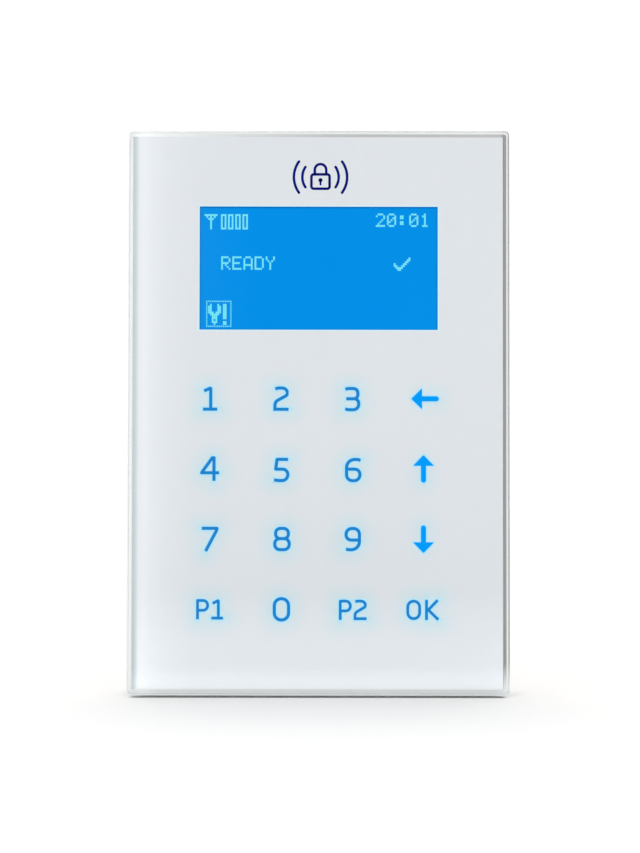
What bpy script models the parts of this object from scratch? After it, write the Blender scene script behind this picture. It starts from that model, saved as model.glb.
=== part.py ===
"""Touch keypad with a graphic display for an intruder alarm, hung on a wall bracket.

Frame: metres, +Z up, the face looks along -Y, and the wall is the plane Y = 0. The origin is the middle
of the bracket's back, on the wall. The keypad unit hangs from two beads at the bracket's top edge and
swings about them; a snap tongue holds its bottom edge. The touch keys have no travel. Behind the unit's
printed board are the parts that an installer moves: terminal screws and their clamps, address switches
and a tamper plunger.
"""

import math

import bmesh
import bpy
from mathutils import Vector

MM = 0.001
GAP = 0.3 * MM  # between pieces that touch on the real keypad
SMOOTH_ANGLE = math.radians(35)
ROUND_STEPS = 20  # sides of a small round piece

# Overall face
PANEL_W = 90 * MM
PANEL_H = 133 * MM

# Depth stack, from the panel's face back to the wall
PANEL_T = 3.0 * MM
FOIL_T = 0.3 * MM
DECK_T = 1.5 * MM
BOARD_STANDOFF = 3.3 * MM  # deck to board
BOARD_T = 1.6 * MM
REAR_ROOM = 8.7 * MM  # board to wall

BOARD_BACK = -REAR_ROOM
BOARD_FRONT = BOARD_BACK - BOARD_T
DECK_BACK = BOARD_FRONT - BOARD_STANDOFF
DECK_FRONT = DECK_BACK - DECK_T
FOIL_BACK = DECK_FRONT - GAP
FOIL_FRONT = FOIL_BACK - FOIL_T
PANEL_BACK = FOIL_FRONT - GAP
PANEL_FRONT = PANEL_BACK - PANEL_T
ON_BOARD_FRONT = BOARD_FRONT - GAP
ON_BOARD_BACK = BOARD_BACK + GAP

# Clear front panel
PANEL_CORNER = 1.2 * MM
PANEL_EDGE = 0.35 * MM  # chamfer round its faces

# Housing: a rim round the unit, open to the back, with a deck behind the panel
HOUSING_INSET = 0.7 * MM  # how far it sits inside the panel's outline
HOUSING_WALL = 1.8 * MM
HOUSING_REAR = -0.8 * MM
HOUSING_TAPER = 1.0 * MM  # the outside draws in by this at the back
HOUSING_TAPER_DEPTH = 3.0 * MM
OUTER_X = PANEL_W / 2 - HOUSING_INSET
OUTER_Z = PANEL_H / 2 - HOUSING_INSET
INNER_X = OUTER_X - HOUSING_WALL
INNER_Z = OUTER_Z - HOUSING_WALL

# Display
SCREEN_W = 56.3 * MM  # the lit dots
SCREEN_H = 29.2 * MM
SCREEN_DROP = 32.4 * MM  # its middle, below the panel's top edge
SCREEN_Z = PANEL_H / 2 - SCREEN_DROP
SCREEN_MARGIN = 0.6 * MM  # round the lit dots, in the foil and the frame
GLASS_BORDER_X = 3.6 * MM
GLASS_BORDER_Z = 5.1 * MM
GLASS_T = 1.8 * MM
FRAME_SHEET = 0.4 * MM
GLASS_X = SCREEN_W / 2 + GLASS_BORDER_X
GLASS_Z = SCREEN_H / 2 + GLASS_BORDER_Z
FRAME_X = GLASS_X + GAP + FRAME_SHEET
FRAME_Z = GLASS_Z + GAP + FRAME_SHEET
GLASS_FRONT = DECK_FRONT + FRAME_SHEET + GAP
GLASS_BACK = GLASS_FRONT + GLASS_T

# Touch keys, four by four, each with a light behind it
KEY_COLUMNS = 4
KEY_ROWS = 4
KEY_SIDE_MARGIN = 19.8 * MM  # panel's side to the outer columns
KEY_TOP_MARGIN = 63.0 * MM  # panel's top to the first row
KEY_BOTTOM_MARGIN = 20.35 * MM
KEY_RIB = 4.8 * MM  # between neighbouring light wells
KEY_PITCH_X = (PANEL_W - 2 * KEY_SIDE_MARGIN) / (KEY_COLUMNS - 1)
KEY_PITCH_Z = (PANEL_H - KEY_TOP_MARGIN - KEY_BOTTOM_MARGIN) / (KEY_ROWS - 1)
KEY_FIRST_X = KEY_SIDE_MARGIN - PANEL_W / 2
KEY_FIRST_Z = PANEL_H / 2 - KEY_TOP_MARGIN
WELL_RADIUS = (min(KEY_PITCH_X, KEY_PITCH_Z) - KEY_RIB) / 2
SHROUD_EDGE = 1.6 * MM  # from the outer wells to the shroud's side
LED_SIZE = (3.2 * MM, 1.1 * MM, 2.8 * MM)
LED_LENS_RADIUS = 1.1 * MM
LED_LENS_RISE = 0.4 * MM

# Board and its screws
BOARD_CLEAR = 0.5 * MM  # board to the housing's wall
SCREW_INSET_X = 5.0 * MM  # screw to the housing's inner wall
SCREW_INSET_Z = 6.0 * MM
SCREW_SHANK_RADIUS = 1.1 * MM
SCREW_HEAD_RADIUS = 2.2 * MM
SCREW_HEAD_T = 1.4 * MM
SCREW_BITE = 2.2 * MM  # length in the boss
BOSS_RADIUS = 2.8 * MM
BOSS_BORE_RADIUS = SCREW_SHANK_RADIUS + GAP

# Wall bracket
BRACKET_T = 1.8 * MM
BRACKET_RIB = 1.6 * MM  # the rim's height above the plate
BRACKET_RIB_T = 1.4 * MM
BRACKET_CLEAR = 0.5 * MM  # to the housing's inside
BRACKET_BOTTOM_CLEAR = 0.6 * MM
BRACKET_TOP_CLEAR = 1.6 * MM  # under the pivot beads
BRACKET_CORNER = 2.0 * MM
PLATE_FRONT = -BRACKET_T
WINDOW_X = 16 * MM  # half the cable window's width
WINDOW_TOP = -14 * MM
WINDOW_BOTTOM = -48 * MM
WINDOW_CORNER = 3 * MM
SLOT_WIDTH = 3.8 * MM  # for 3.5 mm wall screws
SLOT_LENGTH = 8.0 * MM
SLOT_SEAT = 2.2 * MM  # seat for the screw's head, round the slot
SLOT_SEAT_DEPTH = 0.7 * MM
SLOT_INSET_X = 10 * MM  # slot to the bracket's side
SLOT_INSET_Z = 14 * MM

# Hooks: a finger with a bead on top, and the housing's lip behind it
BEAD_RADIUS = 0.6 * MM
PIVOT_Y = -2.6 * MM
PIVOT_Z = INNER_Z - BEAD_RADIUS - 0.5 * MM
FINGER_T = 1.0 * MM
FINGER_ROOT = 6.0 * MM  # length along the plate
HOOK_X = 24 * MM
HOOK_W = 12 * MM
LIP_T = 0.9 * MM
LIP_SUNK = 0.2 * MM  # the lip's back, in front of the housing's
LIP_DROP = 0.9 * MM
LIP_MARGIN = 2.0 * MM  # the lip is this much wider than its hook, at each end
BRACKET_TOP = PIVOT_Z - BRACKET_TOP_CLEAR
BRACKET_BOTTOM = -(INNER_Z - BRACKET_BOTTOM_CLEAR)
BRACKET_X = INNER_X - BRACKET_CLEAR

# Snap tongue at the bottom edge
TONGUE_W = 12 * MM
TONGUE_T = 1.2 * MM
TONGUE_TIP = -7.6 * MM
TOOTH_DEPTH = 0.7 * MM  # into the housing's window
TOOTH_FLAT = 0.5 * MM
TOOTH_RAMP = 1.2 * MM
TONGUE_CLEAR = 0.5 * MM  # round its root, and in front of its catch
TONGUE_FOOT = BRACKET_BOTTOM + 0.2 * MM
TONGUE_PIVOT = (0, -1.0 * MM, TONGUE_FOOT + TONGUE_T / 2)

# Terminal block: four poles in a row, wires from below, screws from behind
POLES = 4
POLE_PITCH = 5.0 * MM
BLOCK_END = 0.6 * MM
BLOCK_Z = (-26 * MM, -18 * MM)
BLOCK_BACK = HOUSING_REAR
SCREW_WELL_RADIUS = 2.0 * MM
WIRE_HOLE_W = 3.6 * MM
WIRE_HOLE_FLOOR = 0.6 * MM
WIRE_HOLE_DEPTH = 6.6 * MM
CLAMP_WALL = 0.5 * MM
CLAMP_H = 2.6 * MM
CLAMP_TRAVEL = 1.0 * MM  # two turns of the screw
CLAMP_DEPTH = 4.0 * MM
CLAMP_BORE_RADIUS = 1.2 * MM
TERMINAL_HEAD_RADIUS = 1.7 * MM
TERMINAL_HEAD_T = 1.3 * MM
TERMINAL_SHANK_RADIUS = 0.85 * MM
TERMINAL_SINK = 0.9 * MM  # head below the block's back
DRIVER_SLOT_W = 0.6 * MM
DRIVER_SLOT_DEPTH = 0.6 * MM

# Address switches
SWITCHES = 4
SWITCH_PITCH = 2.54 * MM
SWITCH_MIDDLE = (0, -3.0 * MM)
SWITCH_BODY_END = 1.85 * MM
SWITCH_BODY_H = 6.7 * MM
SWITCH_BODY_T = 3.2 * MM
SWITCH_SLOT_W = 1.6 * MM
SWITCH_TRAVEL = 1.7 * MM
SWITCH_SLOT_DEPTH = 1.5 * MM
SLIDER_W = 1.0 * MM
SLIDER_H = 1.2 * MM
SLIDER_PROUD = 0.5 * MM
SWITCHES_ON = (0,)  # the first is on, which sets address one

# Tamper switch
TAMPER = (28 * MM, -24 * MM)
TAMPER_BODY = 6.0 * MM
TAMPER_TRAVEL = 1.2 * MM
TAMPER_GUIDE = 0.9 * MM  # length of stem left in the bore when the plunger is out
TAMPER_STEM_RADIUS = 1.2 * MM
TAMPER_BORE_RADIUS = TAMPER_STEM_RADIUS + GAP
TAMPER_BORE_FLOOR = 0.6 * MM
TAMPER_BODY_T = TAMPER_BORE_FLOOR + GAP + TAMPER_TRAVEL + TAMPER_GUIDE
TAMPER_CAP_RADIUS = 2.6 * MM
TAMPER_CAP_T = 0.8 * MM
PAD_RADIUS = 4.0 * MM  # the bracket's pad under the plunger
PAD_H = 0.6 * MM
TAMPER_TIP = PLATE_FRONT - PAD_H - GAP
SPRING_WIRE = 0.3 * MM
SPRING_RADIUS = 1.9 * MM
SPRING_TURNS = 2.5
SPRING_STEPS = 14  # points in one turn

# Other parts on the board's back: middle x, middle z, width, height above the board, length
TALLEST = REAR_ROOM - BRACKET_T - 4 * GAP
BUZZER = (-28 * MM, -24 * MM)
BUZZER_RADIUS = 6.0 * MM
BUZZER_HOLE_RADIUS = 1.0 * MM
BUZZER_HOLE_DEPTH = 1.2 * MM
CAPACITOR_RADIUS = 3.15 * MM
CAPACITORS = ((-25 * MM, 18 * MM), (26 * MM, 16 * MM))
CHIPS = {
    "controller_chip": (0, 12 * MM, 10 * MM, 1.4 * MM, 10 * MM),
    "bus_driver_chip": (17 * MM, -4 * MM, 4.9 * MM, 1.5 * MM, 3.9 * MM),
    "regulator": (-16 * MM, -4 * MM, 6.6 * MM, 2.3 * MM, 6.1 * MM),
    "inductor": (-28 * MM, 3 * MM, 6.0 * MM, 3.0 * MM, 6.0 * MM),
    "crystal": (12 * MM, 14 * MM, 3.2 * MM, 1.0 * MM, 5.0 * MM),
}
CHIP_EDGE = 0.25 * MM

# Ribbons and the connectors on the board's front
CONNECTOR_T = 1.3 * MM
CONNECTOR_LENGTH = 3.5 * MM
RIBBON_T = 0.2 * MM
RIBBON_BEND = 1.0 * MM
DISPLAY_RIBBON_W = 24 * MM
FOIL_TAIL_W = 12 * MM
CONNECTOR_MARGIN = 2.5 * MM  # wider than its ribbon, at each end
FOIL_TAIL_Z = KEY_FIRST_Z - (KEY_ROWS - 1) * KEY_PITCH_Z - WELL_RADIUS - 4.4 * MM
TAIL_SLOT = 0.7 * MM  # clearance round the tail in the deck


# ---------------------------------------------------------------- shapes

def rounded_rectangle(half_x, half_z, radius, middle=(0, 0), steps=4):
    """Points round a rectangle whose corners are arcs of the radius, anticlockwise."""
    points = []
    for quarter, (sx, sz) in enumerate(((1, 1), (-1, 1), (-1, -1), (1, -1))):
        for step in range(steps + 1):
            angle = math.pi / 2 * (quarter + step / steps)
            points.append((
                middle[0] + sx * (half_x - radius) + radius * math.cos(angle),
                middle[1] + sz * (half_z - radius) + radius * math.sin(angle),
            ))
    return points


def rectangle(x0, x1, z0, z1):
    return [(x1, z1), (x0, z1), (x0, z0), (x1, z0)]


def arc(middle, radius, start, end, steps):
    """Points from angle start to angle end, both included."""
    angles = [start + (end - start) * step / steps for step in range(steps + 1)]
    return [(middle[0] + radius * math.cos(a), middle[1] + radius * math.sin(a)) for a in angles]


def circle(middle, radius, steps=ROUND_STEPS):
    return arc(middle, radius, 0, 2 * math.pi, steps)[:-1]


def onto(axis, u, v, along):
    """A point from its place in the outline's plane and its place along the axis."""
    return {"X": (along, u, v), "Y": (u, along, v), "Z": (u, v, along)}[axis]


def extruded(outline, start, end, holes=(), axis="Y"):
    """The outline, less its holes, carried along the axis from start to end."""
    bm = bmesh.new()
    edges = []
    for loop in (outline, *holes):
        corners = [bm.verts.new(onto(axis, u, v, start)) for u, v in loop]
        edges += [bm.edges.new((a, b)) for a, b in zip(corners, corners[1:] + corners[:1])]
    if holes:
        bmesh.ops.triangle_fill(bm, edges=edges, use_beauty=True)
    else:
        bm.faces.new(list(bm.verts))
    grown = bmesh.ops.extrude_face_region(bm, geom=list(bm.faces))["geom"]
    moved = [item for item in grown if isinstance(item, bmesh.types.BMVert)]
    bmesh.ops.translate(bm, verts=moved, vec=onto(axis, 0, 0, end - start))
    return bm


def lofted(sections, axis="Y"):
    """Outlines with the same number of points, each at its own place along the axis, joined in turn."""
    bm = bmesh.new()
    rings = [[bm.verts.new(onto(axis, u, v, place)) for u, v in outline] for place, outline in sections]
    for near, far in zip(rings, rings[1:]):
        count = len(near)
        for i in range(count):
            bm.faces.new((near[i], near[(i + 1) % count], far[(i + 1) % count], far[i]))
    bm.faces.new(rings[0])
    bm.faces.new(rings[-1])
    return bm


def turned(profile, middle, steps=ROUND_STEPS):
    """The profile's (radius, y) points turned about a line along Y through the middle, with flat ends."""
    return lofted([(y, circle(middle, radius, steps)) for radius, y in profile])


def block(x, y, z, edge=0.0):
    """A box between two limits on each axis, with its edges chamfered."""
    bm = extruded(rectangle(*x, *z), *y)
    if edge:
        bmesh.ops.bevel(bm, geom=list(bm.edges), offset=edge, segments=1, affect="EDGES")
    return bm


def bent_strip(path, thickness):
    """The outline of a strip of even thickness that follows the path's points."""
    sides = ([], [])
    for i, point in enumerate(path):
        before = Vector(path[max(i - 1, 0)])
        after = Vector(path[min(i + 1, len(path) - 1)])
        ahead = (after - before).normalized()
        across = Vector((-ahead.y, ahead.x)) * thickness / 2
        sides[0].append(tuple(Vector(point) + across))
        sides[1].append(tuple(Vector(point) - across))
    return sides[0] + sides[1][::-1]


# ---------------------------------------------------------------- objects

def finish(name, colour, roughness, metallic=0.0, alpha=1.0):
    material = bpy.data.materials.new(name)
    material.use_nodes = True
    shader = material.node_tree.nodes["Principled BSDF"]
    shader.inputs["Base Color"].default_value = (*colour, 1)
    shader.inputs["Roughness"].default_value = roughness
    shader.inputs["Metallic"].default_value = metallic
    shader.inputs["Alpha"].default_value = alpha
    return material


def pivot(name, place, parent=None):
    empty = bpy.data.objects.new(name, None)
    empty.empty_display_size = 5 * MM
    bpy.context.scene.collection.objects.link(empty)
    empty.parent = parent
    empty.location = Vector(place) - (parent.matrix_world.translation if parent else Vector())
    bpy.context.view_layer.update()
    return empty


def add(name, bm, material, origin=(0, 0, 0), parent=None):
    """The named object, from points in the keypad's frame, with its own origin."""
    bmesh.ops.translate(bm, verts=bm.verts, vec=-Vector(origin))
    bmesh.ops.recalc_face_normals(bm, faces=bm.faces)
    mesh = bpy.data.meshes.new(name)
    bm.to_mesh(mesh)
    bm.free()
    mesh.materials.append(material)
    mesh.shade_smooth()
    mesh.set_sharp_from_angle(angle=SMOOTH_ANGLE)
    piece = bpy.data.objects.new(name, mesh)
    bpy.context.scene.collection.objects.link(piece)
    piece.parent = parent
    piece.location = Vector(origin) - (parent.matrix_world.translation if parent else Vector())
    return piece


def combine(piece, bm, operation, solver="EXACT"):
    """Joins another shape to the piece, or cuts it away, and hides the shape itself."""
    tool = add(f"{piece.name}_tool", bm, piece.data.materials[0])
    tool.hide_render = True
    tool.display_type = "WIRE"
    modifier = piece.modifiers.new(operation.lower(), "BOOLEAN")
    modifier.operation = operation
    modifier.object = tool
    modifier.solver = solver


def key_places():
    """The middle of each touch key, row by row from the top left."""
    return [
        (KEY_FIRST_X + column * KEY_PITCH_X, KEY_FIRST_Z - row * KEY_PITCH_Z)
        for row in range(KEY_ROWS)
        for column in range(KEY_COLUMNS)
    ]


def screw_places():
    return [
        (sx * (INNER_X - SCREW_INSET_X), sz * (INNER_Z - SCREW_INSET_Z))
        for sz in (1, -1)
        for sx in (-1, 1)
    ]


def slot_outlines(grow=0.0):
    """The four wall screw slots: upright ones at the top, level ones at the bottom."""
    outlines = []
    x = BRACKET_X - SLOT_INSET_X
    half_short = SLOT_WIDTH / 2 + grow
    half_long = SLOT_LENGTH / 2 + grow
    for sx in (-1, 1):
        top = (sx * x, BRACKET_TOP - SLOT_INSET_Z)
        bottom = (sx * x, BRACKET_BOTTOM + SLOT_INSET_Z)
        outlines.append(rounded_rectangle(half_short, half_long, half_short * 0.999, top))
        outlines.append(rounded_rectangle(half_long, half_short, half_short * 0.999, bottom))
    return outlines


# ---------------------------------------------------------------- bracket

def bracket_outline(inset=0.0):
    half_z = (BRACKET_TOP - BRACKET_BOTTOM) / 2
    middle = (0, (BRACKET_TOP + BRACKET_BOTTOM) / 2)
    return rounded_rectangle(BRACKET_X - inset, half_z - inset, BRACKET_CORNER - inset / 2, middle)


def window_outline(grow=0.0):
    middle = (0, (WINDOW_TOP + WINDOW_BOTTOM) / 2)
    half_z = (WINDOW_TOP - WINDOW_BOTTOM) / 2
    return rounded_rectangle(WINDOW_X + grow, half_z + grow, WINDOW_CORNER + grow, middle)


def finger(x):
    """A hook: a neck that stands up in front of the plate, with a round bead along its top."""
    middle = (PIVOT_Y, PIVOT_Z)
    neck = math.acos(FINGER_T / 2 / BEAD_RADIUS)
    bead = arc(middle, BEAD_RADIUS, -neck, math.pi + neck, 12)
    root = BRACKET_TOP - FINGER_ROOT
    inside_plate = PLATE_FRONT + GAP
    outline = [
        (inside_plate, root),
        (inside_plate, BRACKET_TOP - GAP),
        (PIVOT_Y + FINGER_T / 2, BRACKET_TOP - GAP),
        *bead,
        (PIVOT_Y - FINGER_T / 2, root),
    ]
    return extruded(outline, x - HOOK_W / 2, x + HOOK_W / 2, axis="X")


def build_bracket(material):
    """Plate with the cable window and the screw slots, a rim, two hooks and the tamper's pad."""
    holes = [window_outline(), *slot_outlines()]
    bracket = add("wall_bracket", extruded(bracket_outline(), PLATE_FRONT, 0, holes), material)
    rim_front = PLATE_FRONT - BRACKET_RIB
    sunk = PLATE_FRONT + GAP
    rim = extruded(bracket_outline(), rim_front, sunk, [bracket_outline(BRACKET_RIB_T)])
    combine(bracket, rim, "UNION", "MANIFOLD")
    collar = extruded(window_outline(BRACKET_RIB_T), rim_front, sunk, [window_outline()])
    combine(bracket, collar, "UNION", "MANIFOLD")
    for x in (-HOOK_X, HOOK_X):
        combine(bracket, finger(x), "UNION", "MANIFOLD")
    pad = extruded(circle(TAMPER, PAD_RADIUS), PLATE_FRONT - PAD_H, sunk)
    combine(bracket, pad, "UNION", "MANIFOLD")
    for outline in slot_outlines(SLOT_SEAT):
        seat = extruded(outline, rim_front - GAP, PLATE_FRONT + SLOT_SEAT_DEPTH)
        combine(bracket, seat, "DIFFERENCE", "MANIFOLD")
    notch_x = TONGUE_W / 2 + TONGUE_CLEAR
    notch_top = TONGUE_FOOT + TONGUE_T + TONGUE_CLEAR
    notch = block((-notch_x, notch_x), (rim_front - GAP, GAP), (BRACKET_BOTTOM - GAP, notch_top))
    combine(bracket, notch, "DIFFERENCE", "MANIFOLD")
    return bracket


def build_tongue(material, base):
    """The springy catch: it stands out from the bracket's foot, and its tooth drops into the housing."""
    tooth_tip = -(INNER_Z + TOOTH_DEPTH)
    catch = TONGUE_TIP + TOOTH_RAMP + TOOTH_FLAT
    top = TONGUE_FOOT + TONGUE_T
    outline = [
        (-GAP, top),
        (TONGUE_TIP, top),
        (TONGUE_TIP, TONGUE_FOOT),
        (TONGUE_TIP + TOOTH_RAMP, tooth_tip),
        (catch, tooth_tip),
        (catch, TONGUE_FOOT),
        (-GAP, TONGUE_FOOT),
    ]
    bm = extruded(outline, -TONGUE_W / 2, TONGUE_W / 2, axis="X")
    return add("snap_tongue", bm, material, TONGUE_PIVOT, base)


# ---------------------------------------------------------------- unit: shell

def build_panel(material, unit):
    """Clear sheet with polished, chamfered edges."""
    sharp = rounded_rectangle(PANEL_W / 2, PANEL_H / 2, PANEL_CORNER)
    drawn_in = rounded_rectangle(
        PANEL_W / 2 - PANEL_EDGE, PANEL_H / 2 - PANEL_EDGE, PANEL_CORNER - PANEL_EDGE
    )
    sections = [
        (PANEL_FRONT, drawn_in),
        (PANEL_FRONT + PANEL_EDGE, sharp),
        (PANEL_BACK - PANEL_EDGE, sharp),
        (PANEL_BACK, drawn_in),
    ]
    return add("front_panel", lofted(sections), material, (0, PANEL_BACK, 0), unit)


def build_foil(material, unit):
    """Printed touch sensor foil behind the panel, cut out for the display."""
    outline = rounded_rectangle(INNER_X - GAP, INNER_Z - GAP, PANEL_CORNER)
    half_x = SCREEN_W / 2 + SCREEN_MARGIN
    half_z = SCREEN_H / 2 + SCREEN_MARGIN
    opening = rectangle(-half_x, half_x, SCREEN_Z - half_z, SCREEN_Z + half_z)
    bm = extruded(outline, FOIL_FRONT, FOIL_BACK, [opening])
    return add("touch_foil", bm, material, (0, FOIL_BACK, 0), unit)


def lip(x):
    """The strip that hangs from the housing's top wall, behind a hook's bead."""
    half = HOOK_W / 2 + LIP_MARGIN
    back = HOUSING_REAR - LIP_SUNK
    return block(
        (x - half, x + half),
        (back - LIP_T, back),
        (INNER_Z - LIP_DROP, INNER_Z + HOUSING_TAPER / 2),
    )


def build_housing(material, unit):
    """Rim with a deck behind the foil: light wells, display opening, board bosses, lips and catch."""
    outer = rounded_rectangle(OUTER_X, OUTER_Z, PANEL_CORNER)
    tail = rounded_rectangle(OUTER_X - HOUSING_TAPER, OUTER_Z - HOUSING_TAPER, PANEL_CORNER)
    front = PANEL_BACK + GAP
    taper_start = HOUSING_REAR - HOUSING_TAPER_DEPTH
    shell = lofted([(front, outer), (taper_start, outer), (HOUSING_REAR, tail)])
    housing = add("front_housing", shell, material, (0, DECK_BACK, 0), unit)
    inner = rounded_rectangle(INNER_X, INNER_Z, PANEL_CORNER / 2)
    combine(housing, extruded(inner, front - PANEL_T, HOUSING_REAR + PANEL_T), "DIFFERENCE", "MANIFOLD")

    deck_edge = rounded_rectangle(INNER_X + GAP, INNER_Z + GAP, PANEL_CORNER / 2)
    half_x = FRAME_X + GAP
    half_z = FRAME_Z + GAP
    display = rectangle(-half_x, half_x, SCREEN_Z - half_z, SCREEN_Z + half_z)
    tail_half = FOIL_TAIL_W / 2 + TAIL_SLOT
    tail_slot = rectangle(-tail_half, tail_half, FOIL_TAIL_Z - TAIL_SLOT, FOIL_TAIL_Z + TAIL_SLOT)
    wells = [circle(place, WELL_RADIUS) for place in key_places()]
    deck = extruded(deck_edge, DECK_FRONT, DECK_BACK, [display, tail_slot, *wells])
    combine(housing, deck, "UNION", "MANIFOLD")

    for place in screw_places():
        bore = circle(place, BOSS_BORE_RADIUS)
        boss = extruded(circle(place, BOSS_RADIUS), DECK_BACK - GAP, ON_BOARD_FRONT, [bore])
        combine(housing, boss, "UNION", "MANIFOLD")
    for x in (-HOOK_X, HOOK_X):
        combine(housing, lip(x), "UNION", "MANIFOLD")
    catch_x = TONGUE_W / 2 + TONGUE_CLEAR
    catch_rear = TONGUE_TIP + TOOTH_RAMP + TOOTH_FLAT + GAP
    window = block(
        (-catch_x, catch_x),
        (TONGUE_TIP - TONGUE_CLEAR, catch_rear),
        (-OUTER_Z - PANEL_T, -INNER_Z + GAP),
    )
    combine(housing, window, "DIFFERENCE", "MANIFOLD")
    return housing


def build_shroud(material, unit):
    """White light box: one round well for each key, so that a key's light stays its own."""
    places = key_places()
    reach = WELL_RADIUS + SHROUD_EDGE
    outline = rectangle(
        places[0][0] - reach, places[-1][0] + reach, places[-1][1] - reach, places[0][1] + reach
    )
    wells = [circle(place, WELL_RADIUS) for place in places]
    bm = extruded(outline, DECK_BACK + GAP, ON_BOARD_FRONT, wells)
    return add("light_shroud", bm, material, (0, DECK_BACK + GAP, 0), unit)


# ---------------------------------------------------------------- unit: display

def around_screen(half_x, half_z):
    return (-half_x, half_x), (SCREEN_Z - half_z, SCREEN_Z + half_z)


def build_display(finishes, unit):
    """Glass cell and its backlight in a bent sheet frame, on the board's front."""
    x, z = around_screen(GLASS_X, GLASS_Z)
    glass = block(x, (GLASS_FRONT, GLASS_BACK), z)
    add("display_glass", glass, finishes["display"], (0, GLASS_BACK, SCREEN_Z), unit)
    backlight = block(x, (GLASS_BACK + GAP, ON_BOARD_FRONT - GAP), z, CHIP_EDGE)
    add("display_backlight", backlight, finishes["diffuser"], (0, GLASS_BACK, SCREEN_Z), unit)

    x, z = around_screen(FRAME_X, FRAME_Z)
    outline = rectangle(*x, *z)
    shell = extruded(outline, DECK_FRONT, ON_BOARD_FRONT)
    frame = add("display_frame", shell, finishes["steel"], (0, DECK_FRONT, SCREEN_Z), unit)
    x, z = around_screen(FRAME_X - FRAME_SHEET, FRAME_Z - FRAME_SHEET)
    combine(frame, block(x, (DECK_FRONT + FRAME_SHEET, 0), z), "DIFFERENCE")
    x, z = around_screen(SCREEN_W / 2 + SCREEN_MARGIN, SCREEN_H / 2 + SCREEN_MARGIN)
    combine(frame, block(x, (PANEL_FRONT, GLASS_FRONT), z), "DIFFERENCE")


def build_connector(name, width, z, material, unit):
    half = width / 2 + CONNECTOR_MARGIN
    bm = block((-half, half), (ON_BOARD_FRONT - CONNECTOR_T, ON_BOARD_FRONT), z, CHIP_EDGE)
    add(name, bm, material, (0, ON_BOARD_FRONT, sum(z) / 2), unit)


def build_ribbons(finishes, unit):
    """The display's ribbon, up from its frame, and the foil's tail, back through the deck."""
    entry = ON_BOARD_FRONT - CONNECTOR_T / 2
    frame_top = SCREEN_Z + FRAME_Z + GAP
    start = (DECK_BACK + ON_BOARD_FRONT) / 2 - RIBBON_BEND
    slope_end = frame_top + 3 * RIBBON_BEND
    socket = slope_end + GAP
    path = [
        (start, frame_top),
        (start, frame_top + RIBBON_BEND),
        (entry, slope_end - GAP),
        (entry, slope_end),
    ]
    half = DISPLAY_RIBBON_W / 2
    bm = extruded(bent_strip(path, RIBBON_T), -half, half, axis="X")
    add("display_ribbon", bm, finishes["film"], (0, entry, slope_end), unit)
    sockets = (socket, socket + CONNECTOR_LENGTH)
    build_connector("display_connector", DISPLAY_RIBBON_W, sockets, finishes["connector"], unit)

    bend = (entry - RIBBON_BEND, FOIL_TAIL_Z - RIBBON_BEND)
    turn = arc(bend, RIBBON_BEND, math.pi / 2, 0, 5)
    tail_end = FOIL_TAIL_Z - 2 * RIBBON_BEND
    path = [(FOIL_BACK + GAP, FOIL_TAIL_Z), *turn, (entry, tail_end)]
    half = FOIL_TAIL_W / 2
    bm = extruded(bent_strip(path, RIBBON_T), -half, half, axis="X")
    add("foil_tail", bm, finishes["film"], (0, FOIL_BACK, FOIL_TAIL_Z), unit)
    sockets = (tail_end - GAP - CONNECTOR_LENGTH, tail_end - GAP)
    build_connector("foil_connector", FOIL_TAIL_W, sockets, finishes["connector"], unit)


# ---------------------------------------------------------------- unit: board

def build_board(finishes, unit):
    outline = rounded_rectangle(INNER_X - BOARD_CLEAR, INNER_Z - BOARD_CLEAR, PANEL_CORNER)
    holes = [circle(place, BOSS_BORE_RADIUS) for place in screw_places()]
    bm = extruded(outline, BOARD_FRONT, BOARD_BACK, holes)
    add("main_board", bm, finishes["board"], (0, BOARD_FRONT, 0), unit)
    for number, (x, z) in enumerate(screw_places(), 1):
        profile = [
            (SCREW_SHANK_RADIUS * 0.6, BOARD_FRONT - GAP - SCREW_BITE),
            (SCREW_SHANK_RADIUS, BOARD_FRONT - SCREW_BITE + GAP),
            (SCREW_SHANK_RADIUS, ON_BOARD_BACK),
            (SCREW_HEAD_RADIUS, ON_BOARD_BACK),
            (SCREW_HEAD_RADIUS, ON_BOARD_BACK + SCREW_HEAD_T * 0.6),
            (SCREW_HEAD_RADIUS * 0.8, ON_BOARD_BACK + SCREW_HEAD_T),
        ]
        bm = turned(profile, (x, z))
        screw = add(f"board_screw_{number}", bm, finishes["steel"], (x, ON_BOARD_BACK, z), unit)
        depth = (ON_BOARD_BACK + SCREW_HEAD_T - DRIVER_SLOT_DEPTH, 0)
        arm = SCREW_HEAD_RADIUS * 0.6
        width = DRIVER_SLOT_W / 2
        for half_x, half_z in ((arm, width), (width, arm)):
            cross = block((x - half_x, x + half_x), depth, (z - half_z, z + half_z))
            combine(screw, cross, "DIFFERENCE")


def build_leds(material, unit):
    """A small lamp at the middle of each well: a square body with a domed lens."""
    for number, (x, z) in enumerate(key_places(), 1):
        half_x, height, half_z = LED_SIZE[0] / 2, LED_SIZE[1], LED_SIZE[2] / 2
        face = ON_BOARD_FRONT - height
        base = block((x - half_x, x + half_x), (face, ON_BOARD_FRONT), (z - half_z, z + half_z))
        led = add(f"key_led_{number:02d}", base, material, (x, ON_BOARD_FRONT, z), unit)
        dome = turned(
            [
                (LED_LENS_RADIUS * 0.5, face - LED_LENS_RISE),
                (LED_LENS_RADIUS * 0.9, face - LED_LENS_RISE * 0.5),
                (LED_LENS_RADIUS, face + GAP),
            ],
            (x, z),
            steps=12,
        )
        combine(led, dome, "UNION")


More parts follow.
